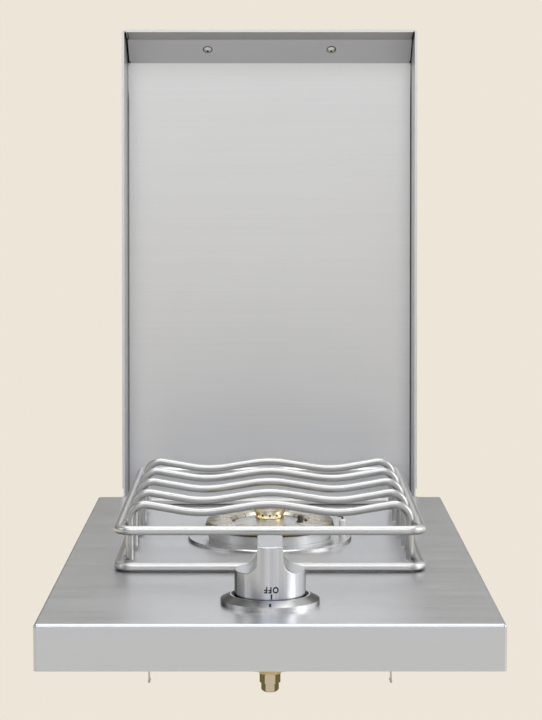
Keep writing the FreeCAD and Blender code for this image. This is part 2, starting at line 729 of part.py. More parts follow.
def make_lid_handle():
    middle, normal = slope_frame()
    half = size("grip_screw_pitch") / 2
    bar_out = size("grip_gap") + size("grip_bar") / 2
    posts = []
    screws = []
    for side in (-1, 1):
        foot = middle + Vector(side * half, 0, 0)
        post = Part.makeCylinder(size("grip_post") / 2, size("grip_gap") + 1.2, foot, normal)
        collar = Part.makeCylinder(size("grip_post") / 2 + 1.6, 1.6, foot, normal)
        rim = [edge for edge in collar.Edges if (edge.BoundBox.Center - foot).dot(normal) > 1.5]
        posts.append(post.fuse(collar.makeFillet(0.7, rim)))
        inside = foot - normal * size("lid_sheet")
        screws.append(domed_screw(inside, -normal, size("lid_sheet")))
    start = middle + normal * bar_out - Vector(size("grip_length") / 2, 0, 0)
    bar = Part.makeCylinder(size("grip_bar") / 2, size("grip_length"), start, Vector(1, 0, 0))
    around = math.pi * size("grip_bar")
    ends = [edge for edge in bar.Edges if near(edge.Length, around, 0.1)]
    bar = bar.makeFillet(size("grip_bar") / 4, ends)
    wings = Part.Compound([post.cut(bar) for post in posts])
    where = (0, size("hinge_y"), size("hinge_z"))
    formed("lid_handle_bar", bar, *where, turn=lid_turn())
    formed("lid_handle_posts", wings, *where, turn=lid_turn())
    formed("lid_handle_screws", Part.Compound(screws), *where, turn=lid_turn())


def drill_lid(body):
    """The two holes for the handle screws, square to the sloped strip."""
    middle, normal = slope_frame()
    half = size("grip_screw_pitch") / 2
    turn = Rotation(Vector(0, 0, 1), normal)
    for side in (-1, 1):
        drill = body.newObject("PartDesign::SubtractiveCylinder", f"lid_screw_hole_{side + 1}")
        bind(drill, "Radius", "screw_shank / 2")
        bind(drill, "Height", "4 * lid_sheet")
        start = middle + Vector(side * half, 0, 0) - normal * (2 * size("lid_sheet"))
        drill.AttachmentSupport = [(origin_item(body, "XY_Plane"), "")]
        drill.MapMode = "FlatFace"
        drill.AttachmentOffset = Placement(start, turn)
        doc.recompute()


# Grate: two rings on top of each other, and five waved rods welded inside them
def make_rings():
    x = size("rail_x")
    y = size("rail_y")
    corners = [Vector(-x, -y, 0), Vector(x, -y, 0), Vector(x, y, 0), Vector(-x, y, 0)]
    path = rounded_path(corners, [size("rack_corner")] * 4, closed=True)
    ring = rod_along(path, size("rack_rod"))
    heights = {
        "grate_lower_ring": size("rack_rod") / 2 + size("seat_gap"),
        "grate_upper_ring": size("rack_ring_height"),
    }
    for label, rise in heights.items():
        formed(label, ring, 0, size("rack_y"), size("deck_height") + rise)


def make_cross_rods():
    out = size("rod_foot_x")
    trough = size("rod_trough_out")
    corners = [
        Vector(-out, 0, size("rod_foot_height")), Vector(-out, 0, size("rod_shoulder")),
        Vector(-trough, 0, size("rod_trough")), Vector(0, 0, size("rod_crest")),
        Vector(trough, 0, size("rod_trough")), Vector(out, 0, size("rod_shoulder")),
        Vector(out, 0, size("rod_foot_height")),
    ]
    bend = size("rod_bend")
    wave = size("rod_wave")
    path = rounded_path(corners, [0, bend, wave, wave, wave, bend, 0])
    rod = rod_along(path, size("cross_rod"))
    for i in range(5):
        y = size("rack_y") + (i - 2) * size("rack_rod_pitch")
        formed(f"grate_rod_{i + 1}", rod, 0, y, size("deck_height"))


# Control: bezel, knob, bush, stem, and the valve under the deck
def make_bezel():
    body = new_body("knob_bezel", "0", "knob_y", "deck_height")
    revolve(body, "bezel_section", [
        ("stem_way", "0"), ("bezel_radius", "0"), ("bezel_radius", "bezel_side"),
        ("bezel_lip", "bezel_height"), ("bezel_well", "bezel_height"), ("bezel_well", "bezel_floor"),
        ("stem_way", "bezel_floor"),
    ])
    holes = [(x, "0", "screw_shank / 2 + 0.1") for x in ("control_screw_out", "-control_screw_out")]
    drilled = circles(body, "XY_Plane", "bezel_holes", holes)
    pocket(body, drilled, "2 * bezel_floor", middle=True)


def make_knob():
    body = new_body("knob", "0", "knob_y", "deck_height")
    start = circles(body, "XY_Plane", "knob_round", [("0", "0", "knob_radius")], lift="knob_start")
    pad(body, start, "knob_top - knob_start")
    side = size("knob_grip") / 2
    for name, sign in (("left", "-"), ("right", "")):
        scoop = outline(body, "XZ_Plane", f"knob_scoop_{name}", [
            (f"{sign}knob_grip / 2", "knob_shelf"), (f"{sign}(knob_radius + 5)", "knob_shelf"),
            (f"{sign}(knob_radius + 5)", "knob_top + 5"), (f"{sign}knob_grip / 2", "knob_top + 5"),
        ])
        pocket(body, scoop, "3 * knob_radius", middle=True)
    shelf = size("knob_shelf")

    def scoop_root(edge):
        where = middle_of(edge)
        return along(edge, 1) and near(where.z, shelf) and near(abs(where.x), side)

    round_edges(body, "knob_scoop", scoop_root)
    hollow = circles(
        body, "XY_Plane", "knob_hollow_rings",
        [("0", "0", "knob_radius - knob_wall"), ("0", "0", "bush_radius + 2.5")], lift="knob_start",
    )
    pocket(body, hollow, "knob_hollow", back=True)
    bore = circles(body, "XY_Plane", "knob_bush_bore", [("0", "0", "bush_radius")], lift="knob_start")
    pocket(body, bore, "bush_top - knob_start", back=True)
    radius = size("knob_radius")
    top = size("knob_top")

    def rim(edge):
        return near(edge.BoundBox.ZMin, top) and near(edge.BoundBox.ZMax, top)

    def side_edge(edge):
        ends = [vertex.Point for vertex in edge.Vertexes]
        outside = all(near(math.hypot(end.x, end.y), radius) for end in ends)
        return outside and edge.BoundBox.ZMin > shelf - 0.01

    round_edges(body, "knob_edge", lambda edge: rim(edge) or side_edge(edge))


def make_bush_and_stem():
    stem_round = primitive(
        "Cylinder", "stem_round", "0", "knob_y", "deck_height - stem_foot",
        Radius="stem_diameter / 2", Height="stem_foot + stem_top",
    )
    flat = primitive(
        "Box", "stem_flat_box",
        "-stem_diameter", "knob_y - 3 * stem_diameter / 2 + stem_flat",
        "deck_height + knob_start", Length="2 * stem_diameter", Width="stem_diameter",
        Height="stem_top",
    )
    part(boolean("Cut", "valve_stem_cut", stem_round, flat), "valve_stem")
    bush_round = primitive(
        "Cylinder", "bush_round", "0", "knob_y", "deck_height + knob_start",
        Radius="bush_radius", Height="bush_top - knob_start",
    )
    bush_bore = primitive(
        "Cylinder", "bush_bore", "0", "knob_y", "deck_height + knob_start",
        Radius="stem_diameter / 2", Height="stem_top - knob_start",
    )
    bush_flat = primitive(
        "Box", "bush_flat_box",
        "-stem_diameter", "knob_y - 3 * stem_diameter / 2 + stem_flat",
        "deck_height + knob_start", Length="2 * stem_diameter", Width="stem_diameter",
        Height="stem_top",
    )
    d_bore = boolean("Cut", "bush_d_bore", bush_bore, bush_flat)
    part(boolean("Cut", "knob_bush_cut", bush_round, d_bore), "knob_bush")
    clip_ring = primitive(
        "Cylinder", "clip_ring", "0", "knob_y", "deck_height - clip_drop",
        Radius="spring_pocket - 0.8", Height="clip_sheet",
    )
    clip_hole = primitive(
        "Cylinder", "clip_hole", "0", "knob_y", "deck_height - clip_drop",
        Radius="stem_diameter / 2", Height="clip_sheet",
    )
    part(boolean("Cut", "stem_clip_cut", clip_ring, clip_hole), "stem_clip")
    washer_ring = primitive(
        "Cylinder", "washer_ring", "0", "knob_y", "deck_height - washer_drop",
        Radius="spring_pocket - 0.4", Height="clip_sheet",
    )
    washer_hole = primitive(
        "Cylinder", "washer_hole", "0", "knob_y", "deck_height - washer_drop",
        Radius="stem_diameter / 2 + running_fit", Height="clip_sheet",
    )
    part(boolean("Cut", "thrust_washer_cut", washer_ring, washer_hole), "thrust_washer")


def make_return_spring():
    """A coil of quarter turns, between the floor of its pocket and the thrust washer."""
    wire = size("spring_wire")
    radius = (size("stem_diameter") / 2 + size("spring_pocket")) / 2 - 0.3
    low = -size("spring_floor") + wire / 2 + 0.1
    high = -size("washer_drop") - wire / 2 - 0.1
    quarters = 12

    def coil_point(quarter):
        angle = math.pi / 2 * quarter
        rise = (high - low) * quarter / quarters
        return Vector(radius * math.cos(angle), radius * math.sin(angle), rise)

    arcs = [
        Part.Arc(coil_point(i), coil_point(i + 0.5), coil_point(i + 1)).toShape()
        for i in range(quarters)
    ]
    coil = rod_along(Part.Wire(arcs), wire)
    formed("return_spring", coil, 0, size("knob_y"), size("deck_height") + low)


def make_valve():
    bracket = new_body("valve_bracket", "0", "knob_y", "deck_height")
    under = "-deck_sheet - plate_sheet"
    plate = rectangle(
        bracket, "XY_Plane", "valve_plate", "plate_width / 2", "plate_depth / 2", lift=under
    )
    pad(bracket, plate, "plate_sheet")
    round_edges(bracket, "3", lambda edge: along(edge, 2))
    holes = circles(bracket, "XY_Plane", "valve_plate_holes", [
        ("0", "0", "spring_pocket"), ("control_screw_out", "0", "screw_shank / 2"),
        ("-control_screw_out", "0", "screw_shank / 2"),
    ], lift=under)
    pocket(bracket, holes, "plate_sheet", back=True)

    body = new_body("valve_body", "0", "knob_y", "deck_height")
    block = rectangle(
        body, "XY_Plane", "valve_block", "valve_width / 2", "valve_length / 2", lift="-valve_bottom"
    )
    pad(body, block, "valve_bottom - valve_shoulder")
    round_edges(body, "4", lambda edge: along(edge, 2))
    neck = circles(
        body, "XY_Plane", "valve_neck_round", [("0", "0", "valve_neck")], lift="-valve_shoulder - 1"
    )
    pad(body, neck, "valve_shoulder + 1 - deck_sheet - plate_sheet")
    foot = circles(body, "XY_Plane", "valve_foot_round", [("0", "0", "valve_foot")], lift="-inlet_top")
    pad(body, foot, "inlet_top - valve_bottom + 1")
    outlet = circles(body, "XZ_Plane", "valve_outlet_round", [("0", "-gas_line_drop", "valve_outlet")])
    pad(body, outlet, "valve_front", back=True)
    spring_bore = circles(
        body, "XY_Plane", "valve_spring_bore", [("0", "0", "spring_pocket")], lift="-spring_floor"
    )
    pocket(body, spring_bore, "spring_floor", back=True)
    stem_bore = circles(
        body, "XY_Plane", "valve_stem_bore", [("0", "0", "stem_diameter / 2 + running_fit")],
        lift="-stem_foot - push_travel - 1",
    )
    pocket(body, stem_bore, "stem_foot + push_travel", back=True)

    backward = Rotation(Vector(1, 0, 0), -90)
    hexagon = primitive(
        "Prism", "jet_prism", "0", "knob_y + valve_front", "deck_height - gas_line_drop",
        Circumradius="jet_hexagon / 2", Height="jet_base",
    )
    hexagon.Polygon = 6
    hexagon.Placement.Rotation = backward
    nose = primitive(
        "Cone", "jet_nose", "0", "knob_y + valve_front + jet_base", "deck_height - gas_line_drop",
        Radius1="3.6", Radius2="2", Height="jet_tip - valve_front - jet_base",
    )
    nose.Placement.Rotation = backward
    part(boolean("Fuse", "gas_jet_fuse", hexagon, nose), "gas_jet")


def chamfered_hexagon(name, across, low, high, bevel_top, bevel_low):
    """A hexagon whose corners are turned off at its ends."""
    prism = primitive(
        "Prism", name + "_prism", "0", "knob_y", f"deck_height - {low}",
        Circumradius=f"{across} / 2", Height=f"{low} - {high}",
    )
    prism.Polygon = 6
    body = doc.addObject("PartDesign::Body", name + "_turned")
    place(body, "0", "knob_y", "deck_height")
    revolve(body, name + "_turned_section", [
        ("0", f"-({low})"), (f"{across} / 2 - {bevel_low}", f"-({low})"),
        (f"{across} / 2", f"-({low}) + {bevel_low}"), (f"{across} / 2", f"-({high}) - {bevel_top}"),
        (f"{across} / 2 - {bevel_top} * 1.6", f"-({high})"), ("0", f"-({high})"),
    ])
    return boolean("Common", name + "_hexagon", prism, body)


def make_inlet():
    fitting = chamfered_hexagon("inlet_fitting", "inlet_hexagon", "inlet_end", "inlet_top", "0.6", "0.5")
    spigot = primitive(
        "Cylinder", "inlet_spigot", "0", "knob_y", "deck_height - nut_end + 2",
        Radius="inlet_bore", Height="nut_end - inlet_end - 2",
    )
    part(boolean("Fuse", "inlet_fitting_fuse", fitting, spigot), "inlet_fitting")
    nut = chamfered_hexagon("inlet_nut", "inlet_nut", "nut_end", "inlet_end", "0.4", "1.4")
    bore = primitive(
        "Cylinder", "inlet_nut_bore", "0", "knob_y", "deck_height - nut_end + 2",
        Radius="inlet_bore", Height="nut_end - inlet_end",
    )
    part(boolean("Cut", "inlet_nut_cut", nut, bore), "inlet_nut")


def make_control_screws():
    floor = size("deck_height") + size("bezel_floor")
    out = size("control_screw_out")
    screws = [
        domed_screw(Vector(side * out, size("knob_y"), floor), Vector(0, 0, 1), 6.5, "_small")
        for side in (-1, 1)
    ]
    formed("control_screws", Part.Compound(screws))


# Burner: flange, cast bowl, mixing tube, brass ring, spreader disc and centre cap
def make_flange():
    body = new_body("burner_flange", "0", "burner_y", "deck_height")
    inner = "bowl_radius + 0.4"
    revolve(body, "flange_section", [
        (inner, "flange_height - flange_sheet"),
        ("flange_radius - flange_sheet", "flange_height - flange_sheet"),
        ("flange_radius - flange_sheet", "0"), ("flange_radius", "0"),
        ("flange_radius", "flange_height - 0.9"), ("flange_radius - 0.9", "flange_height"),
        (inner, "flange_height"),
    ])
    around_ceramic = [("ceramic_out", "0", "ceramic_diameter / 2 + 0.3")]
    hole = circles(body, "XY_Plane", "flange_hole", around_ceramic)
    pocket(body, hole, "2 * flange_height + 2", middle=True)


def make_bowl():
    body = new_body("burner_bowl", "0", "burner_y", "deck_height")
    inner = "bowl_radius - bowl_wall"
    revolve(body, "bowl_section", [
        ("0", "-bowl_depth"), ("bowl_waist", "-bowl_depth"), ("bowl_waist", "-bowl_taper_foot"),
        ("bowl_radius", "-bowl_taper_top"), ("bowl_radius", "bowl_rise"), (inner, "bowl_rise"),
        (inner, "-bowl_taper_top - 1.5"), ("bowl_waist - bowl_wall", "-bowl_taper_foot - 1.5"),
        ("bowl_waist - bowl_wall", "bowl_wall - bowl_depth"),
        ("post_radius", "bowl_wall - bowl_depth"), ("post_radius", "post_rise"), ("0", "post_rise"),
    ])
    collar = circles(
        body, "XZ_Plane", "bowl_collar", [("0", "-gas_line_drop", "tube_radius + socket_wall")],
        lift="bowl_waist - socket_wall",
    )
    pad(body, collar, "socket_depth + socket_wall")
    socket = circles(
        body, "XZ_Plane", "bowl_socket", [("0", "-gas_line_drop", "tube_radius")],
        lift="bowl_waist + socket_depth",
    )
    pocket(body, socket, "socket_depth - 0.5")
    gas_way = circles(
        body, "XZ_Plane", "bowl_gas_way", [("0", "-gas_line_drop", "tube_radius - 2 * tube_wall")],
        lift="bowl_waist + 1",
    )
    pocket(body, gas_way, "bowl_wall + 4")
    under = "-deck_sheet - lug_sheet"
    for index, (x, y) in enumerate(bowl_screw_places("0")):
        lug = circles(body, "XY_Plane", f"bowl_lug_{index}", [(x, y, "lug_radius")], lift=under)
        pad(body, lug, "lug_sheet")
        root = [(f"0.86 * ({x})", f"0.86 * ({y})", "lug_radius")]
        web = circles(body, "XY_Plane", f"bowl_web_{index}", root, lift=under)
        pad(body, web, "lug_sheet")
        hole = circles(
            body, "XY_Plane", f"bowl_lug_hole_{index}", [(x, y, "screw_shank / 2")], lift=under
        )
        pocket(body, hole, "lug_sheet", back=True)
    sensor = circles(
        body, "XY_Plane", "bowl_sensor_hole", [("sensor_out", "0", "sensor_diameter / 2")],
        lift="-bowl_depth",
    )
    pocket(body, sensor, "bowl_wall", back=True)


def make_bowl_screws():
    screws = []
    reach = size("bowl_screw_out")
    for angle in BOWL_SCREW_ANGLES:
        x = reach * math.cos(math.radians(angle))
        y = size("burner_y") + reach * math.sin(math.radians(angle))
        head = Vector(x, y, size("deck_height"))
        screws.append(domed_screw(head, Vector(0, 0, 1), 8, "_small"))
    formed("bowl_screws", Part.Compound(screws))


def make_mixing_tube():
    body = new_body("mixing_tube")
    body.Placement = Placement(Vector(0, 0, 0), Rotation(Vector(1, 0, 0), -90))
    place(body, "0", "bell_y", "deck_height - gas_line_drop")
    bore = "tube_radius - tube_wall"
    throat_start = "tube_bell_length + 14"
    throat_end = "tube_bell_length + 40"
    flare_end = "tube_bell_length + 70"
    revolve(body, "tube_section", [
        ("tube_eye", "0"), ("tube_bell", "0"), ("tube_bell", "tube_bell_length"),
        ("tube_radius - tube_throat", throat_start), ("tube_radius - tube_throat", throat_end),
        ("tube_radius", flare_end), ("tube_radius", "tube_length"),
        (bore, "tube_length"), (bore, flare_end),
        (f"{bore} - tube_throat", throat_end), (f"{bore} - tube_throat", throat_start),
        ("tube_bell - tube_wall", "tube_bell_length"), ("tube_bell - tube_wall", "tube_wall"),
        ("tube_eye", "tube_wall"),
    ])
    window = rectangle(
        body, "XZ_Plane", "tube_window", "0.3 * tube_bell", "tube_bell_length / 2 - 4",
        "0", "tube_bell_length / 2 + 1",
    )
    cut = pocket(body, window, "tube_bell + 2")
    polar(body, cut, "3")


def make_air_shutter():
    body = new_body("air_shutter")
    body.Placement = Placement(Vector(0, 0, 0), Rotation(Vector(1, 0, 0), -90))
    place(body, "0", "bell_y", "deck_height - gas_line_drop")
    outer = "tube_bell + shutter_sheet"
    revolve(body, "shutter_section", [
        ("tube_bell", "2"), (outer, "2"), (outer, "tube_bell_length - 2"),
        ("tube_bell", "tube_bell_length - 2"),
    ])
    window = rectangle(
        body, "XZ_Plane", "shutter_window", "0.42 * tube_bell", "tube_bell_length / 2 - 5",
        "0.1 * tube_bell", "tube_bell_length / 2 + 1",
    )
    cut = pocket(body, window, "tube_bell + 3")
    polar(body, cut, "3")


def make_crown():
    body = new_body("flame_ring", "0", "burner_y", "deck_height")
    spigot = "bowl_bore - 0.3"
    revolve(body, "crown_section", [
        ("bowl_bore - 3", "crown_seat - 4"), (spigot, "crown_seat - 4"), (spigot, "crown_seat"),
        ("crown_radius", "crown_seat"), ("crown_radius", "crown_seat + 1.6"),
        ("crown_radius - 1.4", "crown_rim"), ("crown_inner + 2.2", "crown_rim + 0.6"),
        ("crown_inner", "crown_rim - 1"), ("crown_inner", "crown_rim - 4"),
        ("bowl_bore - 3", "crown_rim - 4"),
    ])
    slot = rectangle(
        body, "XZ_Plane", "crown_slot", "crown_slot_width / 2", "1.3",
        "0", "crown_seat + 3.2", lift="crown_radius - 4",
    )
    cut = pocket(body, slot, "6", back=True)
    polar(body, cut, "crown_slots")


def make_disc():
    body = new_body("spreader_disc", "0", "burner_y", "deck_height")
    revolve(body, "disc_section", [
        ("6.4", "post_rise"), ("post_radius + 0.5", "post_rise"), ("post_radius + 2", "post_rise - 0.8"),
        ("disc_radius - 1", "post_rise - 0.8"), ("disc_radius", "disc_rim - 1"),
        ("disc_radius - 0.7", "disc_rim"), ("disc_radius - 4", "disc_rim + 0.4"),
        ("cap_base + 1.5", "disc_top"), ("6.4", "disc_top"),
    ])
    around_sensor = [("sensor_out", "0", "sensor_diameter / 2 + 0.25")]
    hole = circles(body, "XY_Plane", "disc_sensor_hole", around_sensor)
    pocket(body, hole, "2 * disc_top + 2", middle=True)


def make_cap():
    body = new_body("centre_cap", "0", "burner_y", "deck_height")
    revolve(body, "cap_section", [
        ("0", "post_rise + seat_gap"), ("6", "post_rise + seat_gap"), ("6", "cap_seat"),
        ("cap_base", "cap_seat"), ("cap_base", "cap_seat + 2.6"),
        ("cap_flare", "cap_seat + cap_height - 1.4"), ("cap_flare", "cap_seat + cap_height - 0.3"),
        ("cap_flare - 0.6", "cap_seat + cap_height"), ("cap_flare - 2.2", "cap_seat + cap_height"),
        ("cap_flare - 3", "cap_seat + cap_height - 0.7"), ("0", "cap_seat + cap_height - 0.7"),
    ])
    port = circles(
        body, "XZ_Plane", "cap_port", [("0", "cap_seat + 2.6", "cap_port_diameter / 2")],
        lift="cap_base - 3",
    )
    cut = pocket(body, port, "6", back=True)
    polar(body, cut, "cap_ports")


def make_electrodes():
    burner = size("burner_y")
    deck = size("deck_height")
    wide = size("ceramic_diameter") / 2
    top = size("ceramic_top")
    foot = size("ceramic_foot")
    ceramic = Part.makeCylinder(wide, top - 1.2 + foot, Vector(0, 0, -foot))
    shoulder = Part.makeCone(wide, wide - 1.3, 1.2, Vector(0, 0, top - 1.2))
    formed("igniter_ceramic", ceramic.fuse(shoulder), size("ceramic_out"), burner, deck)
    holder = new_body("igniter_bracket", "ceramic_out", "burner_y", "deck_height")
    plate = rectangle(
        holder, "XY_Plane", "igniter_plate", "ceramic_diameter", "2 * ceramic_diameter",
        "0.3 * ceramic_diameter", lift="-deck_sheet - bracket_sheet",
    )
    pad(holder, plate, "bracket_sheet")
    hole = circles(
        holder, "XY_Plane", "igniter_plate_hole", [("0", "0", "ceramic_diameter / 2")],
        lift="-deck_sheet - bracket_sheet",
    )
    pocket(holder, hole, "bracket_sheet", back=True)
    wire = rounded_path(
        [Vector(0, 0, top), Vector(0, 0, top + 2.2), Vector(-4.2, 0, top + 2.6)], [0, 1, 0]
    )
    formed("igniter_tip", rod_along(wire, 1.8), size("ceramic_out"), burner, deck)
    radius = size("sensor_diameter") / 2
    rise = size("sensor_top")
    below = size("bowl_depth") + 5
    stem = Part.makeCylinder(radius, rise - 1 + below, Vector(0, 0, -below))
    nose = Part.makeCone(radius, radius - 0.9, 1, Vector(0, 0, rise - 1))
    formed("flame_sensor", stem.fuse(nose), size("sensor_out"), burner, deck)


def make_ignition():
    body = new_body("spark_module", "module_x", "knob_y", "deck_height")
    case = rectangle(
        body, "XY_Plane", "spark_case", "module_width / 2", "module_depth / 2", lift="-module_bottom"
    )
    pad(body, case, "module_bottom - module_top")
    round_edges(body, "2.5", lambda edge: along(edge, 2))
    lead = size("lead_diameter")
    height = size("deck_height") - size("lead_drop")
    start = Vector(size("module_x"), size("knob_y") + size("module_depth") / 2, height)
    tail = Vector(size("ceramic_out"), size("burner_y"), size("deck_height") - size("ceramic_foot"))
    run = size("lead_run")
    bend = size("lead_bend")
    corners = [
        start, start + Vector(0, run / 8, 0), Vector(tail.x, start.y + 3 * run / 8, height),
        Vector(tail.x, tail.y, height), tail,
    ]
    path = rounded_path(corners, [0, bend, bend, 0.4 * bend, 0])
    formed("igniter_lead", rod_along(path, lead))
    clips = []
    wide = size("clip_width")
    for y in (start.y + run / 2, start.y + 7 * run / 8):
        place_at = Vector(tail.x, y, height)
        ring = Part.makeCylinder(lead, wide, place_at, Vector(0, 1, 0))
        bore = Part.makeCylinder(lead / 2, wide, place_at, Vector(0, 1, 0))
        rise = size("lead_drop") - size("deck_sheet") - lead + 0.6
        tab = Part.makeBox(1.2, wide, rise, Vector(tail.x - 0.6, y, height + lead - 0.6))
        clips.append(ring.fuse(tab).cut(bore))
    formed("lead_clips", Part.Compound(clips))


make_deck()
make_hold_down_straps()
make_hinge_bracket()
make_hinge_fasteners()
lid = make_lid()
drill_lid(lid)
make_lid_handle()
make_rings()
make_cross_rods()
make_bezel()
make_knob()
make_bush_and_stem()
make_return_spring()
make_valve()
make_inlet()
make_control_screws()
make_flange()
make_bowl()
make_bowl_screws()
make_mixing_tube()
make_air_shutter()
make_crown()
make_disc()
make_cap()
make_electrodes()
make_ignition()

doc.recompute()
for obj in doc.Objects:
    if "Invalid" in obj.State or "Error" in obj.State:
        raise RuntimeError(f"{obj.Name} failed: {obj.State}")
os.makedirs("parts", exist_ok=True)
for obj in PARTS:
    if obj.Shape.isNull() or not obj.Shape.isValid():
        raise RuntimeError(f"{obj.Label} has no valid shape")
    obj.Shape.exportStep(f"parts/{obj.Label}.step")
    print(obj.Label, len(obj.Shape.Solids), round(obj.Shape.Volume, 1))
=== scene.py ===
import math

import bmesh
import bpy
from bpy.props import FloatProperty, FloatVectorProperty, PointerProperty
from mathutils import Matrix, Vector


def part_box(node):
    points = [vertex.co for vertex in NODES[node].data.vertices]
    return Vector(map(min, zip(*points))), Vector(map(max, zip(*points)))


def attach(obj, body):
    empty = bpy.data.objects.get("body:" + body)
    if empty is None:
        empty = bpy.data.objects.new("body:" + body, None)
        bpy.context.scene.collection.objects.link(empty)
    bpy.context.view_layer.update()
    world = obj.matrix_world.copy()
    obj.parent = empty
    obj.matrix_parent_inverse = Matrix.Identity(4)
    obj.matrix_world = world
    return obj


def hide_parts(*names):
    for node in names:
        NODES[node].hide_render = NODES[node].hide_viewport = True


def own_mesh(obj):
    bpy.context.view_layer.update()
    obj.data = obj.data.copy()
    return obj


bl_info = {
    "name": "Built In Side Burner",
    "version": (1, 0, 0),
    "blender": (4, 5, 0),
    "location": "3D View > Sidebar > Side Burner",
    "description": "Finishes, small pieces and a studio for a built in side burner",
    "category": "Object",
}

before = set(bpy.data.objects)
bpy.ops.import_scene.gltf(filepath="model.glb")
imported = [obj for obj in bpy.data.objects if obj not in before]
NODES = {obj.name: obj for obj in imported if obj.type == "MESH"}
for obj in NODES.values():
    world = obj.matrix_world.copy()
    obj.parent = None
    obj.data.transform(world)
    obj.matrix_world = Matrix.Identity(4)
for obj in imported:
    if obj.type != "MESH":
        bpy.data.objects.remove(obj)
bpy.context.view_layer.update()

# Places that come from the part itself
KNOB_LOW, KNOB_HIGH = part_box("knob")
CROWN_LOW, CROWN_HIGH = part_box("flame_ring")
LID_LOW, LID_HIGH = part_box("lid_shell")
KNOB_AXIS = (KNOB_LOW + KNOB_HIGH) / 2
BURNER_AXIS = (CROWN_LOW + CROWN_HIGH) / 2
BEZEL_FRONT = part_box("knob_bezel")[0].y
DECK_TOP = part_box("deck_panel")[1].z

# Size repeated from the part's source: the return spring's wire
SPRING_WIRE = 0.001

# The open lid's sloped strip: the turn that lays a flat piece on it, and the way it faces
SLOPE_TURN = math.radians(140.06)
SLOPE_NORMAL = Vector((0, -0.642, -0.766))

# A lid screw: its head's radius, from the middle of its box to its seat, and its dome's height
SCREW_HEAD = 0.0038
SCREW_SEAT = Vector((0, 0.00008, 0.00018))
SCREW_RISE = 0.00212

# Share of a text's size that its capitals take
CAPITAL_SHARE = 0.7

# Each lamp's name, place, target, width and height
LAMPS = (
    ("lamp_high", (-0.15, -2.1, 1.9), (0, 0.1, 0.1), 2.0, 1.4),
    ("lamp_low", (0, -3.2, 0.75), (0, 0.1, 0.2), 2.4, 0.8),
    ("lamp_top", (0, 0.1, 2.2), (0, 0.05, 0), 1.8, 1.8),
    ("lamp_left", (-2, -0.6, 1.1), (0, 0, 0.05), 1.0, 1.4),
    ("lamp_right", (2, -0.6, 1.1), (0, 0, 0.05), 1.0, 1.4),
    ("lamp_back", (0, 2, 1.6), (0, 0, 0), 2.4, 0.9),
)

# Spans of a noise texture's values that are stretched to a full range, the last the most
NOISE_WIDE = (0.25, 0.75)
NOISE_SPAN = (0.3, 0.7)
NOISE_CORE = (0.35, 0.65)

# Marks per metre: along and across a sheet's grain, and the rings of turned metal
GRAIN_ALONG, GRAIN_ACROSS = 5, 620
LATHE_RINGS = 1500.0

# Rays cut across the top of the flame ring
RING_RAYS = 18


class FinishSettings(bpy.types.PropertyGroup):
    """Colours and roughness of the burner's finishes."""

    steel: FloatVectorProperty(
        name="Sheet Steel", description="Colour of the brushed deck and lid, and the flange",
        default=(0.68, 0.685, 0.7), subtype="COLOR", min=0, max=1,
    )
    sheet_roughness: FloatProperty(
        name="Sheet Roughness", description="Roughness of the brushed sheet",
        default=0.32, min=0, max=1, subtype="FACTOR",
    )
    rod: FloatVectorProperty(
        name="Grate Rod", description="Colour of the grate's rods and the lid's handle",
        default=(0.62, 0.62, 0.62), subtype="COLOR", min=0, max=1,
    )
    rod_roughness: FloatProperty(
        name="Rod Roughness", description="Roughness of the grate's rod",
        default=0.33, min=0, max=1, subtype="FACTOR",
    )
    control: FloatVectorProperty(
        name="Control Metal", description="Colour of the turned knob",
        default=(0.675, 0.69, 0.715), subtype="COLOR", min=0, max=1,
    )
    brass: FloatVectorProperty(
        name="Brass", description="Colour of the centre cap and of the flame ring's edge",
        default=(0.9, 0.75, 0.38), subtype="COLOR", min=0, max=1,
    )
    pale_brass: FloatVectorProperty(
        name="Pale Brass", description="Colour of the machined top of the flame ring",
        default=(0.88, 0.82, 0.71), subtype="COLOR", min=0, max=1,
    )
    scorch: FloatVectorProperty(
        name="Scorch", description="Heat tint on the side of the flame ring",
        default=(0.15, 0.1, 0.035), subtype="COLOR", min=0, max=1,
    )
    aluminium: FloatVectorProperty(
        name="Aluminium", description="Colour of the bowl and the spreader disc",
        default=(0.74, 0.745, 0.75), subtype="COLOR", min=0, max=1,
    )


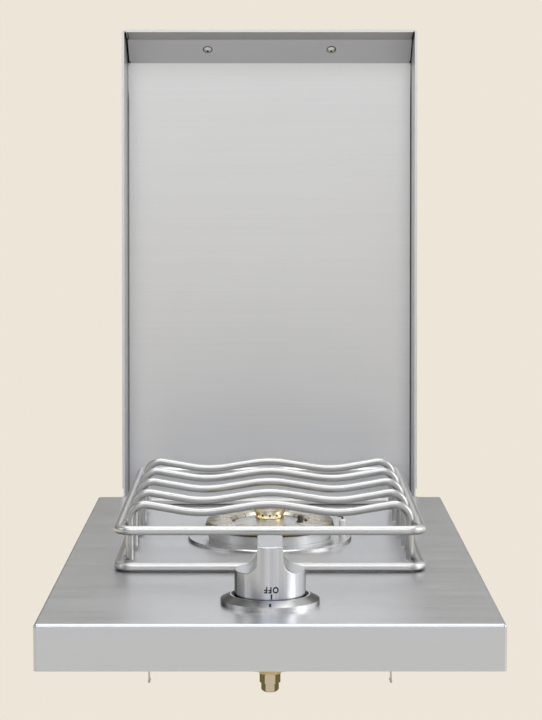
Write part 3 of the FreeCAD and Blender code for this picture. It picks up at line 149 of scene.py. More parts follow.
class DetailSettings(bpy.types.PropertyGroup):
    """Sizes of the small pieces that are added to the solids."""

    bead_radius: FloatProperty(
        name="Weld Bead", description="Radius of the weld between a cross rod and a ring",
        default=0.0021, unit="LENGTH",
    )
    letter_height: FloatProperty(
        name="Letter Height", description="Height of the letters on the knob",
        default=0.0041, unit="LENGTH",
    )
    letter_width: FloatProperty(
        name="Letter Width", description="How much narrower the letters are than the typeface",
        default=0.86, min=0.5, max=1.5, subtype="FACTOR",
    )
    letter_rise: FloatProperty(
        name="Letter Place", description="Middle of the letters above the deck",
        default=0.0144, unit="LENGTH",
    )
    mark_offset: FloatProperty(
        name="Mark Offset", description="How far right of the middle the knob's marks are",
        default=0.00096, unit="LENGTH",
    )
    mark_width: FloatProperty(
        name="Line Width", description="Width of the line on the knob and of the one on the bezel",
        default=0.0011, unit="LENGTH",
    )
    lid_wall: FloatProperty(
        name="Lid Wall", description="From the outside of the lid's hem to the inside of its wall",
        default=0.0024, unit="LENGTH",
    )
    lid_lip: FloatProperty(
        name="Lid Lip", description="Top of the open lid to the fold of its lip",
        default=0.0072, unit="LENGTH",
    )
    lid_band: FloatProperty(
        name="Lid Band", description="Top of the open lid to the end of its sloped strip",
        default=0.0286, unit="LENGTH",
    )
    seam_left: FloatProperty(
        name="Left Seam", description="Width of the open seam in the lid's left corner",
        default=0.0017, unit="LENGTH",
    )
    seam_right: FloatProperty(
        name="Right Seam", description="Width of the open seam in the lid's right corner",
        default=0.001, unit="LENGTH",
    )
    mark_depth: FloatProperty(
        name="Paint Thickness", description="How far the paint of a mark stands proud",
        default=0.00012, unit="LENGTH",
    )


class StudioSettings(bpy.types.PropertyGroup):
    """Camera, background and lamps."""

    camera_place: FloatVectorProperty(
        name="Camera", description="Where the camera stands",
        default=(-0.00126, -1.66705, 0.3396), subtype="TRANSLATION",
    )
    camera_pitch: FloatProperty(
        name="Pitch", description="How far the camera looks down",
        default=math.radians(5.268), unit="ROTATION",
    )
    camera_turn: FloatProperty(
        name="Turn", description="How far the camera looks to the right",
        default=math.radians(0.076), unit="ROTATION",
    )
    lens: FloatProperty(
        name="Lens", description="Focal length in millimetres on a 36 mm frame",
        default=105, min=1, unit="CAMERA",
    )
    backdrop: FloatVectorProperty(
        name="Backdrop", description="Colour of the floor and of what stands behind",
        default=(0.847, 0.791, 0.687), subtype="COLOR", min=0, max=1,
    )
    floor_drop: FloatProperty(
        name="Floor", description="How far the floor is below the worktop plane",
        default=0.3, unit="LENGTH",
    )
    room_even: FloatProperty(
        name="Room", description="Even light of the room",
        default=0.08, min=0,
    )
    room_top: FloatProperty(
        name="Room Top", description="Light from above",
        default=0.24, min=0,
    )
    room_left: FloatProperty(
        name="Room Left", description="Light from the left",
        default=0.1, min=0,
    )
    room_right: FloatProperty(
        name="Room Right", description="Light from the right",
        default=1.2, min=0,
    )
    lamp_high: FloatProperty(
        name="High Lamp", description="Power of the lamp above the camera",
        default=16, min=0, unit="POWER",
    )
    lamp_low: FloatProperty(
        name="Low Lamp", description="Power of the lamp level with the camera",
        default=5.4, min=0, unit="POWER",
    )
    lamp_top: FloatProperty(
        name="Top Lamp", description="Power of the lamp over the burner",
        default=20, min=0, unit="POWER",
    )
    lamp_left: FloatProperty(
        name="Left Lamp", description="Power of the lamp at the left",
        default=4.5, min=0, unit="POWER",
    )
    lamp_right: FloatProperty(
        name="Right Lamp", description="Power of the lamp at the right",
        default=9.6, min=0, unit="POWER",
    )
    lamp_back: FloatProperty(
        name="Back Lamp", description="Power of the lamp behind the lid",
        default=3.5, min=0, unit="POWER",
    )
    paper_low: FloatProperty(
        name="Paper Low", description="Backdrop seen by gloss near the horizon",
        default=0.15, min=0,
    )
    paper_high: FloatProperty(
        name="Paper High", description="Backdrop seen by gloss higher up",
        default=0.2, min=0,
    )


# Node helpers for the finishes
def node(tree, kind, **inputs):
    """A shader node with some of its unlinked inputs set by name."""
    made = tree.nodes.new(kind)
    for name, value in inputs.items():
        made.inputs[name.replace("_", " ")].default_value = value
    return made


def wire(tree, value, socket):
    """Link an output to an input, or set the input to a plain value."""
    if isinstance(value, bpy.types.NodeSocket):
        tree.links.new(value, socket)
    else:
        socket.default_value = value


def object_coordinates(tree, scale=(1, 1, 1), place=(0, 0, 0)):
    """Object coordinates, moved so that a place is the middle, then scaled."""
    coords = tree.nodes.new("ShaderNodeTexCoord")
    mapping = tree.nodes.new("ShaderNodeMapping")
    mapping.vector_type = "POINT"
    mapping.inputs["Scale"].default_value = scale
    mapping.inputs["Location"].default_value = [-p * s for p, s in zip(place, scale)]
    wire(tree, coords.outputs["Object"], mapping.inputs["Vector"])
    return mapping.outputs["Vector"]


def noise(tree, vector, scale, detail=3.0, roughness=0.6):
    made = node(tree, "ShaderNodeTexNoise", Scale=scale, Detail=detail, Roughness=roughness)
    wire(tree, vector, made.inputs["Vector"])
    return made.outputs["Fac"]


def math_node(tree, operation, first, second=0.5, clamp=False):
    """A math node whose inputs are sockets or numbers."""
    made = tree.nodes.new("ShaderNodeMath")
    made.operation = operation
    made.use_clamp = clamp
    wire(tree, first, made.inputs[0])
    wire(tree, second, made.inputs[1])
    return made.outputs["Value"]


def times(tree, first, second):
    return math_node(tree, "MULTIPLY", first, second)


def vector_math(tree, operation, first, second=(0, 0, 0)):
    """A vector math node whose inputs are sockets or vectors."""
    made = tree.nodes.new("ShaderNodeVectorMath")
    made.operation = operation
    wire(tree, first, made.inputs[0])
    wire(tree, second, made.inputs[1])
    return made.outputs["Value" if operation == "LENGTH" else "Vector"]


def split(tree, vector):
    """The X, Y and Z of a vector."""
    made = tree.nodes.new("ShaderNodeSeparateXYZ")
    wire(tree, vector, made.inputs["Vector"])
    return made.outputs


def combined(tree, **parts):
    """A vector from sockets for its X, Y or Z."""
    made = tree.nodes.new("ShaderNodeCombineXYZ")
    for name, value in parts.items():
        wire(tree, value, made.inputs[name])
    return made.outputs["Vector"]


def spread(tree, value, low, high, start=0.0, end=1.0):
    """Map a value from start..end onto low..high."""
    made = node(tree, "ShaderNodeMapRange", From_Min=start, From_Max=end, To_Min=low, To_Max=high)
    wire(tree, value, made.inputs["Value"])
    return made.outputs["Result"]


def ramp(tree, value, start, end):
    """0 up to the start, 1 from the end on, and even between them."""
    return spread(tree, value, 0, 1, start, end)


def around(tree, pattern, middle, reach, span=NOISE_WIDE):
    """A value that a pattern moves up and down round a middle."""
    return spread(tree, pattern, middle - reach, middle + reach, *span)


def colour_mix(tree, factor, first, second):
    """Mix two colours, each a socket or three numbers."""
    made = tree.nodes.new("ShaderNodeMix")
    made.data_type = "RGBA"
    wire(tree, factor, made.inputs["Factor"])
    for name, value in (("A", first), ("B", second)):
        socket = [s for s in made.inputs if s.name == name and s.type == "RGBA"][0]
        wire(tree, (*value, 1) if isinstance(value, tuple) else value, socket)
    return [s for s in made.outputs if s.type == "RGBA"][0]


def shaded(colour, amount):
    """A colour made lighter or darker by a factor."""
    return tuple(min(1.0, c * amount) for c in colour)


def tinted(colour, tint):
    return tuple(c * t for c, t in zip(colour, tint))


def mottled(tree, factor, colour, dark, light):
    """Between a darker and a lighter tone of one colour."""
    return colour_mix(tree, factor, shaded(colour, dark), shaded(colour, light))


def new_finish(name, metallic, roughness, colour):
    """A material and its Principled shader, with the even values set on the shader."""
    material = bpy.data.materials.new(name)
    material.use_nodes = True
    shader = material.node_tree.nodes["Principled BSDF"]
    shader.inputs["Metallic"].default_value = metallic
    shader.inputs["Roughness"].default_value = roughness
    shader.inputs["Base Color"].default_value = (*colour, 1)
    material.diffuse_color = (*colour, 1)
    return material, material.node_tree, shader


def dress(tree, shader, colour, roughness, height, strength, distance):
    """Give a shader its patterned colour and roughness, and a bump from a height."""
    wire(tree, colour, shader.inputs["Base Color"])
    wire(tree, roughness, shader.inputs["Roughness"])
    bump = node(tree, "ShaderNodeBump", Strength=strength, Distance=distance)
    wire(tree, height, bump.inputs["Height"])
    wire(tree, bump.outputs["Normal"], shader.inputs["Normal"])


def facing(tree, axis):
    """How far the surface itself faces along an axis, from -1 to 1."""
    return split(tree, tree.nodes.new("ShaderNodeNewGeometry").outputs["Normal"])[axis]


def squarely(tree, axis):
    """How far the surface faces along an axis, either way, from 0 to 1."""
    return math_node(tree, "ABSOLUTE", facing(tree, axis))


def grain_direction(tree, turned_about=None):
    """The way that the finish was brushed: left to right, or round an upright axis."""
    if turned_about is None:
        return (1, 0, 0)
    geometry = tree.nodes.new("ShaderNodeNewGeometry")
    arm = vector_math(tree, "SUBTRACT", geometry.outputs["Position"], (*turned_about, 0))
    return vector_math(tree, "CROSS_PRODUCT", (0, 0, 1), arm)


def across_grain(tree, shader, amount, grain):
    """Spread the reflections across the grain of the finish."""
    shader.inputs["Anisotropic"].default_value = amount
    normal = tree.nodes.new("ShaderNodeNewGeometry").outputs["Normal"]
    across = vector_math(tree, "CROSS_PRODUCT", normal, grain)
    # A little of another direction, for what faces along the grain and has no cross product
    spare = vector_math(tree, "CROSS_PRODUCT", normal, (0, 0.02, 0.004))
    both = vector_math(tree, "NORMALIZE", vector_math(tree, "ADD", across, spare))
    wire(tree, both, shader.inputs["Tangent"])


def from_axis(tree, axis):
    """How far a point is from an upright axis, its angle round it, and its height."""
    middle = object_coordinates(tree, place=(*axis, 0))
    apart = split(tree, middle)
    angle = math_node(tree, "ARCTAN2", apart["Y"], apart["X"])
    radius = vector_math(tree, "LENGTH", vector_math(tree, "MULTIPLY", middle, (1, 1, 0)))
    return radius, angle, apart["Z"]


def brushed_sheet(name, colour, roughness, face):
    """Sheet steel with a left to right grain, faint clouds and fine streaks.

    A face is an axis, two limits and a tint: what faces that way takes the tint, which is painted light.
    """
    material, tree, shader = new_finish(name, 1.0, roughness, colour)
    streaks, sides = (
        noise(tree, object_coordinates(tree, scale), 1.0, 4.0, 0.62)
        for scale in (
            (GRAIN_ALONG, GRAIN_ACROSS, GRAIN_ACROSS), (GRAIN_ACROSS, GRAIN_ALONG, GRAIN_ACROSS),
        )
    )
    pick = tree.nodes.new("ShaderNodeMix")
    wire(tree, ramp(tree, squarely(tree, "X"), 0.6, 0.8), pick.inputs["Factor"])
    wire(tree, streaks, pick.inputs["A"])
    wire(tree, sides, pick.inputs["B"])
    grain = pick.outputs["Result"]
    clouds = noise(tree, object_coordinates(tree), 7.0, 3.0, 0.5)
    smears = noise(tree, object_coordinates(tree, (14, 40, 40)), 1.0, 3.0, 0.55)
    tone = mottled(tree, ramp(tree, grain, *NOISE_SPAN), colour, 0.955, 1.035)
    cloudy = mottled(tree, ramp(tree, clouds, *NOISE_SPAN), colour, 0.98, 1.015)
    whole = colour_mix(tree, spread(tree, smears, 0.35, 0.65), tone, cloudy)
    # Painted light: what faces along the axis takes the tint, in place of the light and reflection it
    # gets
    axis, start, end, tint = face
    toward = ramp(tree, facing(tree, axis), start, end)
    whole = colour_mix(tree, toward, whole, tinted(colour, tint))
    rough = math_node(
        tree, "ADD", around(tree, grain, 0, 0.045), around(tree, smears, roughness, 0.014)
    )
    across_grain(tree, shader, 0.62, grain_direction(tree))
    dress(tree, shader, whole, rough, grain, 0.08, 0.00012)
    return material


def polished_rod(name, colour, roughness, underside_shade=0.36):
    """Bright drawn rod, a little cloudy with wear, and darkened on what faces down as painted shade."""
    material, tree, shader = new_finish(name, 1.0, roughness, colour)
    wear = noise(tree, object_coordinates(tree), 60.0)
    fine = noise(tree, object_coordinates(tree), 900.0, 2.0, 0.5)
    tone = mottled(tree, wear, colour, 0.93, 1.06)
    # Painted shade: what faces down is darkened
    below = spread(tree, facing(tree, "Z"), 1, 0, -0.65, 0.05)
    whole = colour_mix(tree, below, tone, shaded(colour, underside_shade))
    rough = math_node(
        tree, "ADD", around(tree, wear, 0, 0.05), around(tree, fine, roughness, 0.02)
    )
    dress(tree, shader, whole, rough, math_node(tree, "ADD", wear, fine), 0.05, 0.0001)
    return material


def turned_metal(
    name, colour, roughness, axis, amount=0.5, reflection_band_tones=(0.8, 1.16), cone_reflection=None, painted_dark_ends=None, front=None,
):
    """Metal turned on a lathe: fine rings round an upright axis, and soft bands of painted reflection
    down its side.

    The band tones are the darkest and the lightest tone of these bands. A cone's painted reflection is
    the tone of its dark part, of its bright part, and where the bright part is, in degrees. The painted
    dark extremes are a tone of painted shade for the left and right of the side, the two limits where it
    sets in, and how far out it begins. The front is a tint for what faces the front, bluer, to offset
    the warm backdrop it reflects.
    """
    material, tree, shader = new_finish(name, 1.0, roughness, colour)
    radius, angle, height = from_axis(tree, axis)
    rings = combined(
        tree, X=times(tree, radius, LATHE_RINGS), Z=times(tree, height, LATHE_RINGS)
    )
    grooves = noise(tree, rings, 1.0, 2.0)
    streaks = noise(tree, combined(tree, X=times(tree, angle, 7.0)), 1.0)
    tone = mottled(tree, grooves, colour, 0.98, 1.015)
    # Soft bands down the side, from noise round the axis: painted reflection
    painted_bands = mottled(tree, ramp(tree, streaks, *NOISE_CORE), colour, *reflection_band_tones)
    rise = squarely(tree, "Z")
    whole = colour_mix(tree, spread(tree, rise, 0.7, 0.15, 0.2, 0.6), tone, painted_bands)
    # Painted reflection on a cone: dark all round but for a bright patch toward one angle
    if cone_reflection:
        dark, light, toward = cone_reflection
        sloped = times(tree, ramp(tree, rise, 0.2, 0.35), spread(tree, rise, 1, 0, 0.9, 0.98))
        turn = math_node(tree, "COSINE", math_node(tree, "SUBTRACT", angle, math.radians(toward)))
        painted_reflection = mottled(tree, ramp(tree, turn, 0.78, 0.97), colour, dark, light)
        whole = colour_mix(tree, sloped, whole, painted_reflection)
    # Painted shade: the left and right extremes of the side are darkened
    if painted_dark_ends:
        shade, start, end, inner = painted_dark_ends
        limit = 0.98 if cone_reflection else 0.85
        aside = math_node(tree, "SUBTRACT", math_node(tree, "COSINE", angle), 0.03)
        aside = ramp(tree, math_node(tree, "ABSOLUTE", aside), start, end)
        aside = times(tree, aside, spread(tree, rise, 1, 0, limit - 0.1, limit))
        aside = times(tree, aside, ramp(tree, radius, inner - 0.0005, inner))
        whole = colour_mix(tree, aside, whole, shaded(colour, shade))
    # Painted reflection: what faces the front is tinted bluer to offset the warm backdrop it reflects
    if front:
        reflection_tint = vector_math(tree, "MULTIPLY", whole, front)
        whole = colour_mix(tree, ramp(tree, facing(tree, "Y"), -0.85, -0.97), whole, reflection_tint)
    rough = math_node(
        tree, "ADD", around(tree, grooves, 0, 0.012), around(tree, streaks, roughness, 0.03)
    )
    across_grain(tree, shader, amount, grain_direction(tree, axis))
    dress(tree, shader, whole, rough, grooves, 0.01, 0.00003)
    return material


def scorched_brass(name, pale, brass, scorch, axis, outer, low, high):
    """Pale machined brass with cut rays on top, gold at its rim, brown on its side, and painted shade at
    its left and right.
    """
    material, tree, shader = new_finish(name, 1.0, 0.3, pale)
    radius, angle, height = from_axis(tree, axis)
    rays = combined(tree, X=times(tree, angle, 9.0), Y=times(tree, radius, 30.0))
    grooves = noise(tree, rays, 1.0)
    clouds = noise(tree, object_coordinates(tree), 90.0)
    tone = mottled(tree, ramp(tree, grooves, *NOISE_CORE), pale, 0.86, 1.08)
    turn = math_node(tree, "FRACT", times(tree, angle, RING_RAYS / math.tau))
    cut = math_node(tree, "ABSOLUTE", math_node(tree, "SUBTRACT", turn, 0.5))
    tone = colour_mix(tree, spread(tree, cut, 1, 0, 0.03, 0.07), tone, shaded(brass, 0.42))
    rim = ramp(tree, radius, outer - 0.004, outer - 0.001)
    rim = math_node(tree, "ADD", rim, around(tree, grooves, 0, 0.35, NOISE_SPAN), clamp=True)
    rim = times(tree, rim, ramp(tree, radius, outer - 0.006, outer - 0.004))
    tone = colour_mix(tree, rim, tone, shaded(brass, 0.6))
    # Painted shade at the left and right of the ring
    painted_dark_ends = math_node(tree, "ABSOLUTE", math_node(tree, "COSINE", angle))
    painted_dark_ends = spread(tree, painted_dark_ends, 0, 0.9, 0.88, 0.97)
    painted_dark_ends = times(tree, painted_dark_ends, ramp(tree, radius, outer - 0.013, outer - 0.006))
    tone = colour_mix(tree, painted_dark_ends, tone, shaded(brass, 0.2))
    side = spread(tree, height, 1, 0, low, high)
    browned = math_node(tree, "ADD", side, spread(tree, clouds, -0.25, 0.25), clamp=True)
    whole = colour_mix(tree, browned, tone, scorch)
    dress(tree, shader, whole, spread(tree, clouds, 0.2, 0.36, *NOISE_SPAN), grooves, 0.02, 0.0002)
    return material


def ported_brass(name, colour, axis, foot):
    """Machined brass with a painted highlight in front and painted shade at its left and right, whose
    ports are painted black inside as shade.
    """
    # Colours of the painted highlight, the painted shade at the sides, and the painted shade in the
    # ports
    pale, dark, port_shade = (1.0, 0.93, 0.74), (0.35, 0.27, 0.07), (0.02, 0.014, 0.008)
    material, tree, shader = new_finish(name, 1.0, 0.2, colour)
    radius, angle, _ = from_axis(tree, axis)
    clouds = noise(tree, object_coordinates(tree), 140.0, 4.0)
    dull = tinted(colour, (0.86, 0.8, 0.62))
    tone = colour_mix(tree, ramp(tree, clouds, 0.4, 0.75), colour, dull)
    aside = math_node(tree, "ABSOLUTE", math_node(tree, "COSINE", angle))
    # Painted highlight in front, painted shade toward the left and right
    tone = colour_mix(tree, ramp(tree, aside, 0.3, 0.75), pale, tone)
    tone = colour_mix(tree, spread(tree, aside, 0, 0.8, 0.85, 0.98), tone, dark)
    # Inside the ports: painted shade, black
    inside = spread(tree, radius, 1, 0, foot - 0.0006, foot - 0.0002)
    inside = times(tree, inside, spread(tree, squarely(tree, "Z"), 1, 0, 0.96, 0.99))
    whole = colour_mix(tree, inside, tone, port_shade)
    dress(tree, shader, whole, spread(tree, clouds, 0.14, 0.3, *NOISE_SPAN), clouds, 0.08, 0.0001)
    return material


def flank_shaded_nickel(name, colour, flank_shade):
    """Plated fitting with painted shade, dark and yellow, on its flanks."""
    material, tree, shader = new_finish(name, 1.0, 0.24, colour)
    clouds = noise(tree, object_coordinates(tree), 160.0)
    # Painted shade on the flanks, which face the sides
    flank = ramp(tree, squarely(tree, "X"), 0.3, 0.8)
    whole = colour_mix(tree, flank, mottled(tree, clouds, colour, 0.9, 1.05), flank_shade)
    dress(tree, shader, whole, spread(tree, clouds, 0.19, 0.32, *NOISE_SPAN), clouds, 0.08, 0.0001)
    return material


def plain_brass(name, colour, roughness):
    """Machined brass with soft tarnishing."""
    material, tree, shader = new_finish(name, 1.0, roughness, colour)
    clouds = noise(tree, object_coordinates(tree), 140.0, 4.0)
    dull = tinted(colour, (0.82, 0.76, 0.6))
    whole = colour_mix(tree, ramp(tree, clouds, 0.4, 0.75), colour, dull)
    rough = spread(tree, clouds, roughness - 0.06, roughness + 0.1, *NOISE_SPAN)
    dress(tree, shader, whole, rough, clouds, 0.08, 0.0001)
    return material


def cast_metal(name, colour, roughness):
    """Cast or pressed metal with a fine pebble."""
    material, tree, shader = new_finish(name, 1.0, roughness, colour)
    pebble = noise(tree, object_coordinates(tree), 1400.0)
    clouds = noise(tree, object_coordinates(tree), 45.0, 3.0, 0.5)
    whole = mottled(tree, clouds, colour, 0.9, 1.05)
    rough = around(tree, pebble, roughness, 0.06, NOISE_SPAN)
    dress(tree, shader, whole, rough, pebble, 0.18, 0.00015)
    return material


def plain_coat(name, colour, roughness, rise=0.06, gloss=0.5):
    """Plastic, silicone, ceramic or paint, with a faint texture of its own."""
    material, tree, shader = new_finish(name, 0.0, roughness, colour)
    shader.inputs["Specular IOR Level"].default_value = gloss
    texture = noise(tree, object_coordinates(tree), 700.0)
    clouds = noise(tree, object_coordinates(tree), 60.0, 2.0, 0.5)
    whole = mottled(tree, clouds, colour, 0.93, 1.05)
    rough = around(tree, texture, roughness, 0.05, NOISE_SPAN)
    dress(tree, shader, whole, rough, texture, rise, 0.0001)
    return material


# Mesh helpers
def deselect_all():
    if bpy.context.mode != "OBJECT":
        bpy.ops.object.mode_set(mode="OBJECT")
    bpy.ops.object.select_all(action="DESELECT")


def edit_all():
    """Go into edit mode with everything selected."""
    bpy.ops.object.mode_set(mode="EDIT")
    bpy.ops.mesh.select_all(action="SELECT")


def finish_piece(obj, name, body, material):
    """Name a piece, put its place into its mesh, and hang it on its body."""
    deselect_all()
    obj.select_set(True)
    bpy.context.view_layer.objects.active = obj
    bpy.ops.object.transform_apply()
    obj.name = name
    obj.data.name = name
    obj.data.materials.clear()
    obj.data.materials.append(material)
    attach(obj, body)


def join_pieces(objects):
    """Join several new objects into the first."""
    deselect_all()
    for obj in objects:
        obj.select_set(True)
    bpy.context.view_layer.objects.active = objects[0]
    bpy.ops.object.join()
    return bpy.context.view_layer.objects.active


def give(material, *names):
    """Put a finish on carried-over solids."""
    for name in names:
        solid = NODES[name]
        solid.data.materials.clear()
        solid.data.materials.append(material)


def select_where(obj, wanted):
    """Select, in edit mode, the vertices whose place passes a test."""
    bpy.ops.mesh.select_all(action="DESELECT")
    bpy.ops.mesh.select_mode(type="VERT")
    mesh = bmesh.from_edit_mesh(obj.data)
    for vertex in mesh.verts:
        vertex.select_set(bool(wanted(vertex.co)))
    mesh.select_flush_mode()
    bmesh.update_edit_mesh(obj.data)


def copied(obj, place):
    """A copy with its own mesh, moved to a place."""
    deselect_all()
    obj.select_set(True)
    bpy.context.view_layer.objects.active = obj
    bpy.ops.object.duplicate(linked=False)
    bpy.ops.transform.translate(value=place)
    return bpy.context.view_layer.objects.active


def modify(obj, kind, **values):
    """Add a modifier with some of its values set, and apply it."""
    made = obj.modifiers.new(kind.lower(), kind)
    for name, value in values.items():
        setattr(made, name, value)
    bpy.ops.object.modifier_apply(modifier=made.name)


def paint_on(obj, surface, depth):
    """Press a flat mark back onto a solid, as seen from the front, and give it a thickness."""
    modify(
        obj, "SHRINKWRAP", target=NODES[surface], wrap_method="PROJECT", use_project_y=True,
        use_positive_direction=True, offset=0.00002,
    )
    modify(obj, "SOLIDIFY", thickness=depth, offset=1)


def cut_across(normal, places):
    """Cut a mesh, in edit mode, square to an axis at some places along it."""
    for place in places:
        bpy.ops.mesh.select_all(action="SELECT")
        bpy.ops.mesh.bisect(plane_co=[place * part for part in normal], plane_no=normal)


def upright_strip(left, right, low, high, front, cuts, corner=0):
    """A flat strip that faces the front, its corners rounded or not, cut across at some heights."""
    deselect_all()
    place = ((left + right) / 2, front, (low + high) / 2)
    bpy.ops.mesh.primitive_plane_add(size=1, location=place, rotation=(math.radians(90), 0, 0))
    obj = bpy.context.active_object
    obj.scale = (abs(right - left), high - low, 1)
    bpy.ops.object.transform_apply()
    edit_all()
    if corner:
        bpy.ops.mesh.bevel(offset=corner, segments=3, affect="VERTICES")
    cut_across((0, 0, 1), cuts)
    bpy.ops.object.mode_set(mode="OBJECT")
    return obj


class BURNER_OT_sheet_metal(bpy.types.Operator):
    """Brushed finish of the deck and the lid, and finishes of the fittings, screws and handle"""

    bl_idname = "burner.sheet_metal"
    bl_label = "Sheet Metal"

    def execute(self, context):
        finish = context.scene.burner_finish
        steel, rough = tuple(finish.steel), finish.sheet_roughness
        # Painted reflection and painted shade: the deck's front is tinted bluer and a little lighter to
        # offset the warm backdrop it reflects, and what the open lid turns down is darkened as painted
        # shade
        deck_front_reflection_tint = ("Y", -0.7, -0.9, (0.965, 1.01, 1.1))
        lid_underside_shade = ("Z", -0.55, -0.97, (0.82, 0.81, 0.79))
        give(brushed_sheet("deck_brushed", steel, rough, deck_front_reflection_tint), "deck_panel")
        give(brushed_sheet("lid_brushed", steel, rough + 0.04, lid_underside_shade), "lid_shell")
        give(
            cast_metal("fitting_steel", (0.5, 0.5, 0.505), 0.34),
            "hold_down_straps", "hinge_bracket_right", "hinge_bracket_left", "valve_bracket",
            "mixing_tube", "air_shutter", "igniter_bracket", "lead_clips",
        )
        give(
            turned_metal("screw_steel", (0.62, 0.62, 0.62), 0.2, (0, 0), 0.0),
            "hinge_pins", "hinge_screws", "lid_handle_screws", "control_screws", "bowl_screws",
        )
        handle = polished_rod("handle_steel", tuple(finish.rod), 0.22)
        give(handle, "lid_handle_bar", "lid_handle_posts")
        return {"FINISHED"}


class BURNER_OT_lid_trim(bpy.types.Operator):
    """Painted shadow in the seams of the lid's corners, painted shade along its creases, and painted
    shade round and inside its screws' heads: dark rings and black key recesses
    """

    bl_idname = "burner.lid_trim"
    bl_label = "Lid Trim"

    def execute(self, context):
        detail = context.scene.burner_detail
        # Black coat for painted shadow in the seams and painted shade in the key recesses
        black = plain_coat("seam_shadow", (0.006, 0.006, 0.006), 0.8, gloss=0.05)
        grey_shade = plain_coat("crease_grey", (0.09, 0.09, 0.092), 0.55)
        pale = plain_coat("crease_pale", (0.2, 0.2, 0.205), 0.5)
        inside = LID_HIGH.x - detail.lid_wall
        end = LID_HIGH.z - detail.lid_band
        for side, width, name in ((-1, detail.seam_left, "left"), (1, detail.seam_right, "right")):
            seam = self.seam(side, inside, width, detail, end)
            finish_piece(seam, f"lid_seam_{name}", "lid", black)
        # Painted shade along the bends in the lid's inner corners, darker at the right
        crease_foot, crease_end = LID_LOW.z + 0.008, end - 0.0004
        for side, width, name, finish in ((-1, 0.0011, "left", pale), (1, 0.0009, "right", grey_shade)):
            edge = side * (inside - 0.0002)
            strip = upright_strip(
                edge - side * width, edge, crease_foot, crease_end, LID_LOW.y, (0.1, 0.2, 0.3, 0.4)
            )
            paint_on(strip, "lid_shell", 0.00005)
            finish_piece(strip, f"lid_crease_{name}", "lid", finish)
        low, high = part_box("lid_handle_screws")
        seat = Vector((0, (low.y + high.y) / 2, (low.z + high.z) / 2)) + SCREW_SEAT
        pitch = high.x - SCREW_HEAD
        # A dark ring of painted shade round each screw's head
        shade_ring = self.shade_ring(SCREW_HEAD + 0.0009)
        self.on_screws(shade_ring, seat, pitch, "lid_screw_washers", grey_shade)
        # The key recesses are black: painted shade
        recess = self.hexagon(0.00125)
        pole = seat + SLOPE_NORMAL * SCREW_RISE
        self.on_screws(recess, pole, pitch, "lid_screw_sockets", black)
        return {"FINISHED"}

    def on_screws(self, model, middle, pitch, name, finish):
        """Two copies of a small piece, turned square to the sloped strip, one on each screw."""
        model.rotation_euler = (SLOPE_TURN, 0, 0)
        model.location = middle
        bpy.ops.object.transform_apply()
        pair = [copied(model, (side * pitch, 0, 0)) for side in (-1, 1)]
        bpy.data.objects.remove(model)
        finish_piece(join_pieces(pair), name, "lid", finish)

    def shade_ring(self, radius):
        """A thin dark ring of painted shade round the foot of a screw's head."""
        deselect_all()
        bpy.ops.mesh.primitive_circle_add(vertices=40, radius=radius)
        obj = bpy.context.active_object
        edit_all()
        bpy.ops.mesh.extrude_edges_move()
        bpy.ops.transform.resize(value=(0.76, 0.76, 1))
        bpy.ops.object.mode_set(mode="OBJECT")
        modify(obj, "SOLIDIFY", thickness=0.0004, offset=0)
        modify(obj, "BEVEL", width=0.0001, segments=2)
        edit_all()
        bpy.ops.mesh.normals_make_consistent(inside=False)
        bpy.ops.object.mode_set(mode="OBJECT")
        return obj

    def hexagon(self, radius):
        """The six-sided recess for the key: a low collar round a floor that is black with painted shade.
        """
        deselect_all()
        bpy.ops.mesh.primitive_cylinder_add(vertices=6, radius=radius, depth=0.0004)
        obj = bpy.context.active_object
        bpy.ops.object.mode_set(mode="EDIT")
        select_where(obj, lambda point: point.z > 0)
        bpy.ops.mesh.inset(thickness=radius * 0.12, depth=0)
        bpy.ops.mesh.inset(thickness=radius * 0.05, depth=-0.00012)
        bpy.ops.object.mode_set(mode="OBJECT")
        return obj

    def seam(self, side, inside, width, detail, end):
        """The painted shadow of an open folded corner: a black line, wider at the lip, the fold and the
        end.
        """
        edge = side * (inside - 0.0001)
        top = LID_HIGH.z - detail.lid_wall * 1.1
        fold = LID_HIGH.z - detail.lid_lip
        heights = (
            fold + 0.0022, fold + 0.0006, fold - 0.0012, (fold + end) / 2, end + 0.0022, end + 0.001,
        )
        strip = upright_strip(edge - side * width, edge, end, top, LID_LOW.y, heights)
        bpy.ops.object.mode_set(mode="EDIT")
        for low, high, wide in (
            (fold - 0.0001, top + 0.0001, 1.9), (end - 0.0001, end + 0.0012, 1.7),
        ):
            select_where(strip, lambda point, low=low, high=high: low < point.z < high)
            bpy.ops.transform.resize(value=(wide, 1, 1), center_override=(edge, 0, 0))
        bpy.ops.object.mode_set(mode="OBJECT")
        paint_on(strip, "lid_shell", 0.0001)
        return strip


